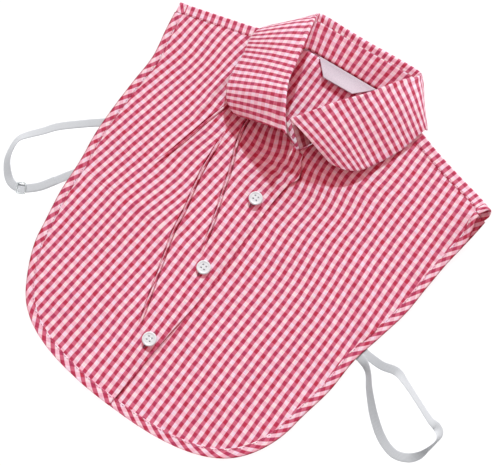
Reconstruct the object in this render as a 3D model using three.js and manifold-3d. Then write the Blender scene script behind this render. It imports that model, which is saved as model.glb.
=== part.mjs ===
// A bib collar in gingham: a false shirt front and back with a turned-down collar, lying flat, front side up.
// Millimetres, +Z up, +X to the viewer's right, +Y from the hem towards the back of the neck.
// Left and right are the wearer's, so the right front is on the viewer's left, and it laps over the left front.
// While it is drawn, x is 0 on the button line and y is 0 where the collar opens at the front.

import * as THREE from "three";
import { mergeVertices } from "three/addons/utils/BufferGeometryUtils.js";
import Module from "manifold-3d";

const wasm = await Module();
wasm.setup();

// Cloth and clearances
const CLOTH = 1.0;           // one layer of shirt cloth
const GAP = 0.35;            // clearance between pieces that are sewn together
const AIR = 1.7;             // height between the back's binding and the front's, where the straps go in

// Bib outline
const HALF_WIDE = 155;       // centre front to shoulder tip
const FRONT_LONG = 246;      // collar opening to hem
const TIP_HIGH = 50;         // collar opening to the shoulder tips
const CORNER_DEEP = 75;      // height of the round lower corners
const CORNER_POWER = 2.4;    // 2 is an ellipse, more is squarer
const SHOULDER_RISE = 31;    // shoulder tip up to the neck end of the shoulder fold
const NECK_END = 49;         // centre to the neck end of the shoulder fold
const BAND_END = 0.96;       // share of the fold that the band covers, from the tip
const BAND_WIDE = 10;        // yoke cloth that shows in front of the shoulder fold
const LIP_WIDE = 8;          // the same cloth behind the fold
const SHOULDER_ROLL = 9;     // how far the open left shoulder tip stands up
const ROLL_SPREAD = 34;      // how far that reaches round the tip

// Binding
const BINDING_WIDE = 7;
const BINDING_THICK = 1.2;

// Placket and buttons
const PLACKET_OUT = 12;      // button line to the edge of the upper front
const UNDERLAP = 14;         // button line to the edge of the lower front
const LAP_SLOPE = 14;        // width over which the upper front climbs on to the lower one
const LAP_MARGIN = 4;        // how far before the lower front's edge it has climbed up
const PLACKET_DROP = 3;      // collar opening down to the placket's top corner
const BUTTON_ACROSS = 11.3;
const BUTTON_THICK = 2.4;
const BUTTON_RIM = 1.3;      // width of the raised rim
const BUTTON_DISH = 0.6;     // how far the middle lies below the rim
const BUTTON_HOLE = 1.5;     // diameter of one thread hole
const HOLE_SPACING = 2.9;    // hole to hole, side by side
const FIRST_BUTTON = 52;     // collar opening to the first button
const BUTTON_SPACING = 68.5;
const BUTTON_COUNT = 3;

// Collar
const NECK_HALF = 47;        // half the width of the neckline
const NECK_DEEP = 82;        // front to back of the neckline
const NECK_RISE = 10;        // how far the fronts climb to the collar
const NECK_SPREAD = 30;      // how far from the neckline they start to climb
const STAND_TALL = 29;
const STAND_THICK = 1.4;
const SEAM_DROP = 7;         // fold down to the seam that joins leaf and stand, on the inside
const LEAF_WIDE = 50;
const LEAF_THICK = 1.4;
const LEAF_FLOAT = 10;       // greatest height of the leaf's edge above the front
const FOLD_ROUND = 2.5;      // size of the roll along the collar's fold
const TIP_CUT = 9;           // how far the leaf's rounded tips are cut back
const TIP_SPAN = 0.035;      // share of the neckline that one rounded tip takes

// Creases
const CREASE_HIGH = 2.2;
const CREASE_WIDE = 7;

// Elastic straps
const STRAP_WIDE = 7.5;
const STRAP_THICK = 1.0;
const LOOP_REACH = 54;       // right loop: how far it lies out from its seam
const LOOP_SPAN = 84;        // right loop: its height along the side
const LOOP_IN = 132;         // right loop: centre to the side seam where it starts
const LOOP_DOWN = 72;        // right loop: collar opening to that start
const TAIL_STEP = 1.4;       // height of the doubled-back layer above the strap
const LEFT_REACH = 84;       // left loop: the same four
const LEFT_SPAN = 50;
const LEFT_IN = 133;
const LEFT_DOWN = 97;
const SLIDER_LONG = 9;
const SLIDER_BAR = 1.2;
const SLIDER_LIFT = 0.9;     // height of the strap over the slider's middle bar
const SLIDER_AT = 0.733;     // place of the slider, a share of the right loop's run

// Neck label
const LABEL_WIDE = 55;       // along the neck seam
const LABEL_TALL = 15;
const LABEL_THICK = 1.0;
const LABEL_MITRE = 14;      // how far its lower corners are folded in
const LABEL_SHIFT = -2.5;    // centre of the label, from the button line
const LABEL_CURL = 2.2;      // how far its lower edge stands off the back

const BACK_TOP = CLOTH;
const FRONT_LEVEL = BINDING_THICK + AIR;
const LAP_STEP = BINDING_THICK + GAP;
const TUCK_LIFT = LEAF_THICK + 2 * GAP;
const TUCK_HALF = 2 * NECK_HALF;
const TUCK_FADE = 16;

// Width of the bib from hem to shoulder tip; left and right are shares of HALF_WIDE
const sideRows = [
  { at: 0.00, right: 0.820, left: 0.860 },
  { at: 0.12, right: 0.752, left: 0.802 },
  { at: 0.24, right: 0.789, left: 0.814 },
  { at: 0.36, right: 0.839, left: 0.858 },
  { at: 0.46, right: 0.862, left: 0.873 },
  { at: 0.55, right: 0.893, left: 0.912 },
  { at: 0.64, right: 0.907, left: 0.948 },
  { at: 0.73, right: 0.913, left: 0.962 },
  { at: 0.82, right: 0.917, left: 0.978 },
  { at: 0.91, right: 0.958, left: 1.006 },
  { at: 1.00, right: 0.994, left: 1.026 },
];

// Collar sections from the right front end round the back to the left front end.
// across and along place the neckline, as shares of NECK_HALF and NECK_DEEP; rise is a share of NECK_RISE.
// leanX, leanY and up are the stand's direction, shares of STAND_TALL; heading is the leaf's, in degrees.
// run is a share of LEAF_WIDE and float one of LEAF_FLOAT; under is 1 where the leaf is tucked beneath the back.
const neckRows = [
  { across: 0.00, along: 0.000, rise: 1.00, leanX: -0.35, leanY: -0.10, up: 0.76, heading: 186, run: 1.00, float: 0.92, under: 0.00 },
  { across: -0.47, along: 0.170, rise: 0.85, leanX: -0.07, leanY: 0.17, up: 1.00, heading: 193, run: 1.00, float: 0.77, under: 0.00 },
  { across: -0.72, along: 0.415, rise: 0.50, leanX: 0.07, leanY: 0.00, up: 0.98, heading: 190, run: 0.95, float: 0.42, under: 0.00 },
  { across: -0.89, along: 0.634, rise: 0.15, leanX: 0.17, leanY: 0.00, up: 0.93, heading: 190, run: 0.91, float: 0.17, under: 0.00 },
  { across: -1.00, along: 0.817, rise: 0.00, leanX: 0.00, leanY: 0.70, up: 0.60, heading: 212, run: 0.90, float: 0.10, under: 0.00 },
  { across: -0.96, along: 0.915, rise: 0.00, leanX: -0.20, leanY: 0.90, up: 0.28, heading: 223, run: 0.82, float: 0.04, under: 0.00 },
  { across: -0.85, along: 0.963, rise: 0.00, leanX: -0.30, leanY: 0.97, up: 0.26, heading: 228, run: 0.67, float: 0.04, under: 1.00 },
  { across: -0.45, along: 0.982, rise: 0.00, leanX: -0.12, leanY: 0.97, up: 0.24, heading: 257, run: 0.72, float: 0.00, under: 1.00 },
  { across: -0.04, along: 0.994, rise: 0.00, leanX: 0.00, leanY: 0.98, up: 0.23, heading: 270, run: 0.72, float: 0.00, under: 1.00 },
  { across: 0.40, along: 1.012, rise: 0.00, leanX: 0.07, leanY: 0.99, up: 0.24, heading: 282, run: 0.74, float: 0.00, under: 1.00 },
  { across: 0.83, along: 1.024, rise: 0.00, leanX: 0.20, leanY: 0.97, up: 0.28, heading: 310, run: 0.68, float: 0.04, under: 1.00 },
  { across: 0.92, along: 0.976, rise: 0.00, leanX: 0.12, leanY: 0.92, up: 0.33, heading: 322, run: 0.85, float: 0.04, under: 0.00 },
  { across: 0.88, along: 0.890, rise: 0.00, leanX: -0.07, leanY: 0.70, up: 0.60, heading: 332, run: 0.88, float: 0.10, under: 0.00 },
  { across: 0.64, along: 0.671, rise: 0.15, leanX: -0.20, leanY: 0.30, up: 0.90, heading: 343, run: 0.96, float: 0.17, under: 0.00 },
  { across: 0.43, along: 0.439, rise: 0.50, leanX: -0.34, leanY: 0.24, up: 0.90, heading: 342, run: 1.05, float: 0.32, under: 0.00 },
  { across: 0.26, along: 0.195, rise: 0.85, leanX: -0.46, leanY: 0.26, up: 0.88, heading: 349, run: 1.08, float: 0.52, under: 0.00 },
  { across: 0.11, along: 0.000, rise: 1.00, leanX: -0.56, leanY: 0.26, up: 0.84, heading: 355, run: 1.00, float: 0.77, under: 0.00 },
];

// Creases in the fronts: side is -1 for the right front and 1 for the left, the two ends are shares of
// HALF_WIDE and FRONT_LONG, and the height is a share of CREASE_HIGH
const creaseRows = [
  { side: -1, x1: -0.440, y1: -0.012, x2: -0.520, y2: -0.240, high: 0.7 },
  { side: -1, x1: -0.440, y1: -0.020, x2: -0.330, y2: -0.175, high: 1.0 },
  { side: -1, x1: -0.330, y1: -0.175, x2: -0.077, y2: -0.760, high: 1.0 },
  { side: -1, x1: -0.284, y1: -0.025, x2: -0.070, y2: -0.440, high: 0.9 },
  { side: 1, x1: 0.660, y1: -0.207, x2: 0.870, y2: -0.370, high: 0.8 },
];

// Run of the right loop: out and along are shares of LOOP_REACH and LOOP_SPAN, roll is in degrees, lift in mm
const rightLoopRows = [
  { out: -0.11, along: -0.10, roll: 0, lift: 1.5 },
  { out: 0.05, along: 0.00, roll: 0, lift: 1.5 },
  { out: 0.22, along: 0.07, roll: 0, lift: 1.5 },
  { out: 0.62, along: 0.28, roll: 20, lift: 0.2 },
  { out: 0.90, along: 0.52, roll: 25, lift: 0.1 },
  { out: 1.02, along: 0.63, roll: 50, lift: 0.1 },
  { out: 0.99, along: 0.74, roll: 60, lift: 0.1 },
  { out: 0.94, along: 0.84, roll: 46, lift: 0.1 },
  { out: 0.82, along: 0.96, roll: 12, lift: 0.4 },
  { out: 0.70, along: 1.04, roll: 0, lift: 0.9 },
  { out: 0.58, along: 1.02, roll: 0, lift: 0.9 },
  { out: 0.49, along: 0.98, roll: 0, lift: 0.9 },
  { out: 0.40, along: 0.94, roll: 0, lift: 0.9 },
  { out: 0.24, along: 0.82, roll: 0, lift: 0.9 },
  { out: 0.04, along: 0.66, roll: 0, lift: 1.5 },
  { out: -0.11, along: 0.54, roll: 0, lift: 1.5 },
];

// Run of the left loop, the same way, as shares of LEFT_REACH and LEFT_SPAN
const leftLoopRows = [
  { out: -0.07, along: -0.02, roll: 0, lift: 1.5 },
  { out: 0.06, along: 0.00, roll: 0, lift: 1.5 },
  { out: 0.18, along: 0.02, roll: 0, lift: 1.5 },
  { out: 0.31, along: 0.00, roll: -25, lift: 0.2 },
  { out: 0.43, along: 0.00, roll: -48, lift: 0.1 },
  { out: 0.60, along: 0.12, roll: -52, lift: 0.1 },
  { out: 0.79, along: 0.25, roll: -44, lift: 0.1 },
  { out: 0.94, along: 0.35, roll: -40, lift: 0.1 },
  { out: 1.01, along: 0.51, roll: -62, lift: 0.1 },
  { out: 0.99, along: 0.74, roll: -58, lift: 0.1 },
  { out: 0.92, along: 0.92, roll: -45, lift: 0.1 },
  { out: 0.82, along: 1.00, roll: -38, lift: 0.1 },
  { out: 0.70, along: 0.95, roll: -35, lift: 0.1 },
  { out: 0.58, along: 0.85, roll: -35, lift: 0.1 },
  { out: 0.45, along: 0.71, roll: -48, lift: 0.1 },
  { out: 0.33, along: 0.56, roll: -55, lift: 0.1 },
  { out: 0.22, along: 0.36, roll: -20, lift: 0.9 },
  { out: 0.12, along: 0.20, roll: 0, lift: 1.5 },
  { out: 0.02, along: 0.19, roll: 0, lift: 1.5 },
  { out: -0.07, along: 0.22, roll: 0, lift: 1.5 },
];

// Small helpers
const spread = (rows) => rows.map((row, index) => ({ at: index / (rows.length - 1), ...row }));
const clamp = (value) => Math.min(1, Math.max(0, value));
const ease = (value) => clamp(value) ** 2 * (3 - 2 * clamp(value));
const mix = (a, b, share) => a + (b - a) * share;
const radians = (degrees) => (degrees * Math.PI) / 180;
const steps = (count) => Array.from({ length: count + 1 }, (_, index) => index / count);

// Reads one column of a table at any place, on a smooth curve through the rows
function follow(rows, at, column) {
  const last = rows.length - 1;
  let low = 0;
  while (low < last - 1 && rows[low + 1].at <= at) low += 1;
  const [a, b] = [rows[low], rows[low + 1]];
  const [before, after] = [rows[Math.max(low - 1, 0)], rows[Math.min(low + 2, last)]];
  const span = b.at - a.at;
  const share = clamp((at - a.at) / span);
  const slopeA = ((b[column] - before[column]) / (b.at - before.at)) * span;
  const slopeB = ((after[column] - a[column]) / (after.at - a.at)) * span;
  const [square, cube] = [share ** 2, share ** 3];
  return (
    a[column] * (2 * cube - 3 * square + 1) +
    slopeA * (cube - 2 * square + share) +
    b[column] * (3 * square - 2 * cube) +
    slopeB * (cube - square)
  );
}

// Outline of the bib: side is -1 for the wearer's right and 1 for the left
const NAMES = { "-1": "right", 1: "left" };
const tipX = (side) => side * HALF_WIDE * sideRows.at(-1)[NAMES[side]];

function halfWidth(side, y) {
  const at = (y + FRONT_LONG) / (FRONT_LONG + TIP_HIGH);
  return HALF_WIDE * follow(sideRows, clamp(at), NAMES[side]);
}

// q runs from 0 at the hem's middle to 1 at the top of the round corner and 2 at the shoulder tip
function outlinePoint(side, q) {
  const cornerTop = CORNER_DEEP - FRONT_LONG;
  if (q >= 1) {
    const y = mix(cornerTop, TIP_HIGH, q - 1);
    return new THREE.Vector2(side * halfWidth(side, y), y);
  }
  const turn = radians(90 * (1 - q));
  const y = cornerTop - CORNER_DEEP * Math.sin(turn) ** (2 / CORNER_POWER);
  return new THREE.Vector2(side * halfWidth(side, y) * Math.cos(turn) ** (2 / CORNER_POWER), y);
}

// The same outline moved inwards
function insetPoint(side, q, inset) {
  const step = 0.004;
  const ahead = outlinePoint(side, Math.min(q + step, 2));
  const behind = outlinePoint(side, Math.max(q - step, 0));
  const along = ahead.sub(behind).normalize();
  if (q <= 0) along.set(side, 0);
  return outlinePoint(side, q).add(new THREE.Vector2(-side * along.y, side * along.x).multiplyScalar(inset));
}

// Places that the panels and their bindings share, so that their edges run side by side
const borderPlaces = [...steps(8).map((share) => share ** 1.2), ...steps(12).slice(1).map((share) => 1 + share)];

// The first place along one side's outline for which a test holds
function firstPlace(test) {
  let [low, high] = [0, 2];
  for (let round = 0; round < 30; round += 1) {
    const half = (low + high) / 2;
    if (test(half)) high = half;
    else low = half;
  }
  return high;
}

function crossing(points, y) {
  let index = 0;
  while (index < points.length - 2 && points[index + 1].y < y) index += 1;
  const [a, b] = [points[index], points[index + 1]];
  return mix(a.x, b.x, clamp((y - a.y) / (b.y - a.y)));
}

// Shoulder fold: a straight line from tip to neck; inset moves it towards the hem
function shoulderPoint(side, share, inset) {
  const tip = new THREE.Vector2(tipX(side), TIP_HIGH);
  const neck = new THREE.Vector2(side * NECK_END, TIP_HIGH + SHOULDER_RISE);
  const along = neck.clone().sub(tip).normalize();
  const inwards = new THREE.Vector2(-side * along.y, side * along.x);
  return tip.lerp(neck, share).add(inwards.multiplyScalar(inset));
}

// The place where the outline, moved inwards, meets the shoulder seam
function seamPlace(side, inset, seam) {
  const [tip, neck] = [shoulderPoint(side, 0, seam), shoulderPoint(side, 1, seam)];
  const above = (point) => point.y > mix(tip.y, neck.y, (point.x - tip.x) / (neck.x - tip.x));
  return firstPlace((q) => above(insetPoint(side, q, inset)));
}

// Neckline, from the right front end to the left one
const neckTable = spread(neckRows);
const neckPlan = (at) =>
  new THREE.Vector2(follow(neckTable, at, "across") * NECK_HALF, follow(neckTable, at, "along") * NECK_DEEP);

function outwards(curve, at) {
  const step = 0.004;
  const travel = curve(Math.min(at + step, 1)).clone().sub(curve(Math.max(at - step, 0)));
  return new THREE.Vector2(-travel.y, travel.x).normalize();
}

const neckMarks = steps(64).map((at) => ({ at, point: neckPlan(at), rise: follow(neckTable, at, "rise") }));

// Heights: everything that lies in layers reads its level here
function neckClimb(x, y) {
  let nearest = Infinity;
  let rise = 0;
  for (const mark of neckMarks) {
    const away = Math.hypot(x - mark.point.x, y - mark.point.y);
    if (away < nearest) {
      nearest = away;
      rise = mark.rise;
    }
  }
  return Math.max(rise, 0) * NECK_RISE * Math.exp(-((nearest / NECK_SPREAD) ** 2));
}

function shoulderRoll(x, y) {
  const away = Math.hypot(x - tipX(1), y - TIP_HIGH);
  return SHOULDER_ROLL * Math.exp(-((away / ROLL_SPREAD) ** 2));
}

function creases(side, x, y) {
  let height = 0;
  for (const row of creaseRows.filter((one) => one.side === side)) {
    const from = new THREE.Vector2(row.x1 * HALF_WIDE, row.y1 * FRONT_LONG);
    const line = new THREE.Vector2(row.x2 * HALF_WIDE, row.y2 * FRONT_LONG).sub(from);
    const offset = new THREE.Vector2(x, y).sub(from);
    const share = clamp(offset.dot(line) / line.lengthSq());
    const away = offset.sub(line.multiplyScalar(share)).length();
    const fade = ease(Math.min(share, 1 - share) * 6) * 0.6 + 0.4;
    height = Math.max(height, row.high * CREASE_HIGH * fade * Math.exp(-((away / CREASE_WIDE) ** 2)));
  }
  return height;
}

// Lift of the cloth over the tucked-in back of the leaf
const tuck = (x, y) => ease((TUCK_HALF - Math.abs(x)) / TUCK_FADE) * ease((y - 0.66 * NECK_DEEP) / TUCK_FADE);
const backLevel = (x, y) => TUCK_LIFT * tuck(x, y);
const lap = (x) => ease((x + UNDERLAP + LAP_MARGIN + LAP_SLOPE) / LAP_SLOPE);

function frontLevel(side, x, y) {
  const layers = FRONT_LEVEL + 0.5 * backLevel(x, y) + (side < 0 ? LAP_STEP * lap(x) : 0);
  return layers + neckClimb(x, y) + shoulderRoll(x, y) + creases(side, x, y);
}

// Solids
function volumeSign(positions, faces) {
  const [a, b, c] = [new THREE.Vector3(), new THREE.Vector3(), new THREE.Vector3()];
  let six = 0;
  for (let index = 0; index < faces.length; index += 3) {
    a.fromArray(positions, faces[index] * 3);
    b.fromArray(positions, faces[index + 1] * 3);
    c.fromArray(positions, faces[index + 2] * 3);
    six += a.dot(b.cross(c));
  }
  return Math.sign(six);
}

function closedGeometry(points, faces) {
  const positions = points.flatMap((point) => point.toArray());
  const outward = volumeSign(positions, faces) > 0;
  const turned = [];
  for (let index = 0; index < faces.length; index += 3) {
    const [a, b, c] = faces.slice(index, index + 3);
    turned.push(...(outward ? [a, b, c] : [a, c, b]));
  }
  const geometry = new THREE.BufferGeometry();
  geometry.setAttribute("position", new THREE.Float32BufferAttribute(positions, 3));
  geometry.setIndex(turned);
  geometry.computeVertexNormals();
  return geometry;
}

// A wall between two grids of the same size, closed all round its rim
function wallSolid(upper, lower) {
  const [rows, columns] = [upper.length, upper[0].length];
  const points = [...upper.flat(), ...lower.flat()];
  const half = rows * columns;
  const top = (i, j) => i * columns + j;
  const bottom = (i, j) => half + top(i, j);
  const faces = [];
  const quad = (a, b, c, d) => faces.push(a, b, c, a, c, d);
  for (let i = 0; i < rows - 1; i += 1) {
    for (let j = 0; j < columns - 1; j += 1) {
      quad(top(i, j), top(i, j + 1), top(i + 1, j + 1), top(i + 1, j));
      quad(bottom(i, j), bottom(i + 1, j), bottom(i + 1, j + 1), bottom(i, j + 1));
    }
    quad(top(i, 0), top(i + 1, 0), bottom(i + 1, 0), bottom(i, 0));
    quad(top(i + 1, columns - 1), top(i, columns - 1), bottom(i, columns - 1), bottom(i + 1, columns - 1));
  }
  for (let j = 0; j < columns - 1; j += 1) {
    quad(top(0, j + 1), top(0, j), bottom(0, j), bottom(0, j + 1));
    quad(top(rows - 1, j), top(rows - 1, j + 1), bottom(rows - 1, j + 1), bottom(rows - 1, j));
  }
  return closedGeometry(points, faces);
}

// A closed loop of points carried along a path; both ends are closed by a strip across the loop
function sweptSolid(loops) {
  const size = loops[0].length;
  const points = loops.flat();
  const faces = [];
  for (let i = 0; i < loops.length - 1; i += 1) {
    for (let j = 0; j < size; j += 1) {
      const [a, b] = [i * size + j, i * size + ((j + 1) % size)];
      faces.push(a, b, b + size, a, b + size, a + size);
    }
  }
  const last = (loops.length - 1) * size;
  for (let j = 0; j < size / 2 - 1; j += 1) {
    const [a, b, c, d] = [j, j + 1, size - 2 - j, size - 1 - j];
    faces.push(a, c, b, a, d, c);
    faces.push(last + a, last + b, last + c, last + a, last + c, last + d);
  }
  return closedGeometry(points, faces);
}

// A wall of even thickness on both sides of a middle surface, given as a function of two shares
function shellSolid(surface, places, shares, thickness) {
  const step = 0.002;
  const [upper, lower] = [[], []];
  for (const at of places) {
    const [upperRow, lowerRow] = [[], []];
    for (const share of shares) {
      const ahead = surface(Math.min(at + step, 1), share).sub(surface(Math.max(at - step, 0), share));
      const across = surface(at, Math.min(share + step, 1)).sub(surface(at, Math.max(share - step, 0)));
      const offset = ahead.cross(across).setLength(thickness / 2);
      upperRow.push(surface(at, share).add(offset));
      lowerRow.push(surface(at, share).sub(offset));
    }
    upper.push(upperRow);
    lower.push(lowerRow);
  }
  return wallSolid(upper, lower);
}

// Panels: rows run from the hem to the shoulder, each from an outer edge to an inner one
function panelSolid(rows, columns, level) {
  const at = (row, share, height) => {
    const x = mix(row.from.x, row.to.x, share);
    const y = mix(row.from.y, row.to.y, share);
    return new THREE.Vector3(x, y, level(x, y) + height);
  };
  const grid = (height) => rows.map((row) => steps(columns).map((share) => at(row, share, height)));
  return wallSolid(grid(CLOTH), grid(0));
}

const edgeInset = BINDING_WIDE + GAP;
const seamInset = BAND_WIDE + GAP;

// Outer vertices of a panel's rows: up the side, to the corner at the seam, and on along the seam
function outerPoints(side, places, seam, seamShares) {
  const end = seamPlace(side, edgeInset, seam);
  const sidePlaces = [...places.filter((q) => q < end - 0.02), end];
  const border = sidePlaces.map((q) => insetPoint(side, q, edgeInset));
  const neck = shoulderPoint(side, 1, seam);
  return [...border, ...seamShares.map((share) => border.at(-1).clone().lerp(neck, share))];
}

// Extra rows where the edges need them: the step of the placket at the hem, its top corner and the neckline
function frontPlaces(side, opening) {
  const wide = [UNDERLAP + LAP_MARGIN, UNDERLAP + LAP_MARGIN + LAP_SLOPE];
  const high = [-PLACKET_DROP, 0, 8, 17, 27, 38].map((rise) => opening + rise);
  const extra = [
    ...wide.map((x) => firstPlace((q) => side * outlinePoint(side, q).x >= x)),
    ...high.map((y) => firstPlace((q) => insetPoint(side, q, edgeInset).y >= y)),
  ];
  const plain = borderPlaces.filter((q) => q === 0 || extra.every((other) => Math.abs(other - q) > 0.035));
  return [...plain, ...extra].sort((a, b) => a - b);
}

function neckEdge(side) {
  const upper = side < 0;
  return steps(24).map((share) => {
    const at = upper ? 0.32 * share : 1 - 0.32 * share;
    return neckPlan(at).add(outwards(neckPlan, at).multiplyScalar(STAND_THICK / 2 + 2 * GAP));
  });
}

function frontPanel(side, columns) {
  const upper = side < 0;
  const edge = neckEdge(side);
  const opening = edge[0].y;
  const frontEdge = upper ? PLACKET_OUT : -UNDERLAP;
  const inner = (y) => (y < opening - 0.1 ? frontEdge : crossing(edge, y));
  const outer = outerPoints(side, frontPlaces(side, opening), seamInset, [0.3, 0.6, 0.8, 0.93]);
  const rows = outer.map((from) => ({ from, to: new THREE.Vector2(inner(from.y), from.y) }));
  return panelSolid(rows, columns, (x, y) => frontLevel(side, x, y));
}

function backPanel() {
  const sides = [-1, 1].map((side) => outerPoints(side, borderPlaces.slice(1), LIP_WIDE + GAP, [0.4, 0.75, 1]));
  const rows = sides[0].map((from, index) => ({ from, to: sides[1][index] }));
  const drop = new THREE.Vector2(0, -STAND_THICK / 2 - 2 * GAP);
  rows.push({ from: neckPlan(6 / 16).add(drop), to: neckPlan(10 / 16).add(drop) });
  return panelSolid(rows, 10, backLevel);
}

// Binding: a flat folded strip along the outline, from the given start to just under the shoulder band
function bindingSolid(path, level) {
  const section = [
    { inset: BINDING_WIDE, high: 0 },
    { inset: 0.8, high: 0 },
    { inset: 0, high: 0.3 },
    { inset: 0, high: 0.7 },
    { inset: 0.8, high: 1 },
    { inset: BINDING_WIDE, high: 1 },
  ];
  const loops = path.map(({ side, q, seam }) =>
    section.map(({ inset, high }) => {
      const point = insetPoint(side, seam ? seamPlace(side, inset, seam) : q, inset);
      return new THREE.Vector3(point.x, point.y, level(point.x, point.y) + high * BINDING_THICK);
    }),
  );
  return sweptSolid(loops);
}

// Places of one side's binding, the last one mitred along the shoulder band
function bindingPath(side, places, seam) {
  const end = Math.min(seamPlace(side, 0, seam), seamPlace(side, BINDING_WIDE, seam));
  return [...places.filter((q) => q < end - 0.02).map((q) => ({ side, q })), { side, seam }];
}

function frontBinding(side) {
  const upper = side < 0;
  const beyond = upper ? PLACKET_OUT : UNDERLAP;
  const start = { side: -side, q: firstPlace((q) => -side * outlinePoint(-side, q).x >= beyond) };
  const path = [start, ...bindingPath(side, frontPlaces(side, neckEdge(side)[0].y), seamInset)];
  return bindingSolid(path, (x, y) => frontLevel(side, x, y));
}

function backBinding() {
  const [right, left] = [-1, 1].map((side) => bindingPath(side, borderPlaces, LIP_WIDE + GAP));
  return bindingSolid([...right.reverse(), ...left.slice(1)], backLevel);
}

// Shoulder band: yoke cloth that comes from the back round the shoulder fold on to the front
function shoulderBand(side) {
  const turns = steps(6).map((share) => radians(90 - 180 * share));
  const loops = steps(11).map((share) => {
    const place = (inset) => shoulderPoint(side, share * BAND_END, inset);
    const edge = place(BAND_WIDE);
    const topAt = (point) => frontLevel(side, point.x, point.y) + CLOTH;
    const fold = place(BAND_WIDE / 3);
    const [high, low] = [topAt(fold), backLevel(fold.x, fold.y)];
    const depth = Math.min((high - low) / 2, BAND_WIDE / 3);
    const bend = (thin) =>
      turns.map((turn) => {
        const point = place(thin + (depth - thin) * (1 - Math.cos(turn)));
        const height = (high + low) / 2 + ((high - low) / 2 - thin) * Math.sin(turn);
        return new THREE.Vector3(point.x, point.y, height);
      });
    const lip = place(LIP_WIDE);
    const lipLow = backLevel(lip.x, lip.y);
    const outer = [new THREE.Vector3(edge.x, edge.y, topAt(edge)), ...bend(0), new THREE.Vector3(lip.x, lip.y, lipLow)];
    const inner = [
      new THREE.Vector3(edge.x, edge.y, topAt(edge) - CLOTH),
      ...bend(CLOTH),
      new THREE.Vector3(lip.x, lip.y, lipLow + CLOTH),
    ];
    return [...outer, ...inner.reverse()];
  });
  return sweptSolid(loops);
}

// Collar: points of one section
function collarPoints(at) {
  const read = (column) => follow(neckTable, at, column);
  const plan = neckPlan(at);
  const under = clamp(read("under"));
  const onFront = frontLevel(at < 0.5 ? -1 : 1, plan.x, plan.y) + CLOTH - 0.2;
  const onBack = backLevel(plan.x, plan.y) + STAND_THICK / 2 + 0.1;
  const base = new THREE.Vector3(plan.x, plan.y, mix(onFront, onBack, ease(under)));
  const up = new THREE.Vector3(read("leanX"), read("leanY"), read("up"));
  const top = up.clone().multiplyScalar(STAND_TALL).add(base);
  const end = Math.min(at, 1 - at) / TIP_SPAN;
  const cut = end < 1 ? TIP_CUT * (1 - Math.sqrt(1 - (1 - end) ** 2)) : 0;
  const run = LEAF_WIDE * read("run") - cut;
  const heading = radians(read("heading"));
  const edge = new THREE.Vector3(top.x + run * Math.cos(heading), top.y + run * Math.sin(heading), 0);
  const support = (1 - under) * (frontLevel(Math.sign(edge.x), edge.x, edge.y) + CLOTH + GAP);
  edge.z = support + LEAF_THICK / 2 + Math.max(read("float"), 0) * LEAF_FLOAT;
  return { base, top, edge, under, up: up.normalize() };
}

function standSurface(at, share) {
  const { base, top, up } = collarPoints(at);
  const seam = up.multiplyScalar(-SEAM_DROP).add(top);
  return base.lerp(seam, share);
}

// The leaf starts at the inner seam, rolls over the fold and falls to its edge
function leafSection(at) {
  const { top, edge, under, up } = collarPoints(at);
  const seam = up.clone().multiplyScalar(2 * GAP - SEAM_DROP).add(top);
  const rollIn = up.clone().multiplyScalar(-FOLD_ROUND).add(top);
  const plan = outwards((place) => new THREE.Vector2(collarPoints(place).top.x, collarPoints(place).top.y), at);
  const fall = edge.clone().sub(top);
  const overFall = fall.clone().setLength(1);
  const underFall = new THREE.Vector3(plan.x * 0.5, plan.y * 0.5, -0.85);
  const leave = overFall.lerp(underFall, under).normalize();
  const rollOut = leave.clone().multiplyScalar(FOLD_ROUND).add(top);
  const crest = top.clone().multiplyScalar(2).sub(rollIn.clone().add(rollOut).multiplyScalar(0.5));
  const reach = mix(fall.length() / 3, 4, under);
  const first = leave.clone().multiplyScalar(reach).add(rollOut);
  first.z += (1 - under) * 0.06 * LEAF_WIDE;
  const second = edge.clone().sub(new THREE.Vector3(fall.x, fall.y, 0).multiplyScalar(mix(0.42, 0.6, under)));
  second.z += (1 - under) * 0.5 * (top.z - edge.z);
  const section = new THREE.CurvePath();
  section.add(new THREE.LineCurve3(seam, rollIn));
  section.add(new THREE.QuadraticBezierCurve3(rollIn, crest, rollOut));
  section.add(new THREE.CubicBezierCurve3(rollOut, first, second, edge));
  return section;
}

// share 0 to 0.2 is the straight stretch, to 0.4 the roll, and the rest the falling leaf
function leafSurface(at, share) {
  const [straight, roll, fall] = leafSection(at).curves;
  if (share < 0.2) return straight.getPoint(share / 0.2);
  if (share < 0.4) return roll.getPoint((share - 0.2) / 0.2);
  return fall.getPoint((share - 0.4) / 0.6);
}

const collarPlaces = [
  ...[0, 0.15, 0.4, 0.7].map((share) => share * TIP_SPAN),
  ...steps(28).map((share) => mix(TIP_SPAN, 1 - TIP_SPAN, share)),
  ...[0.7, 0.4, 0.15, 0].map((share) => 1 - share * TIP_SPAN),
];

const collarStand = () => shellSolid(standSurface, steps(32), steps(2), STAND_THICK);
const collarLeaf = () => shellSolid(leafSurface, collarPlaces, [0, 0.2, 0.3, 0.4, 0.5, 0.62, 0.8, 1], LEAF_THICK);

// Booleans
function solidOf(geometry) {
  const bare = geometry.clone();
  bare.deleteAttribute("normal");
  bare.deleteAttribute("uv");
  const merged = mergeVertices(bare, 1e-4);
  const kept = [];
  const index = merged.index.array;
  for (let face = 0; face < index.length; face += 3) {
    const [a, b, c] = index.slice(face, face + 3);
    if (a !== b && b !== c && a !== c) kept.push(a, b, c);
  }
  const vertProperties = new Float32Array(merged.attributes.position.array);
  return new wasm.Manifold(new wasm.Mesh({ numProp: 3, vertProperties, triVerts: new Uint32Array(kept) }));
}

function geometryOf(solid) {
  const mesh = solid.getMesh();
  const geometry = new THREE.BufferGeometry();
  geometry.setAttribute("position", new THREE.Float32BufferAttribute(mesh.vertProperties, 3));
  geometry.setIndex(Array.from(mesh.triVerts));
  geometry.computeVertexNormals();
  return geometry;
}

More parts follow.
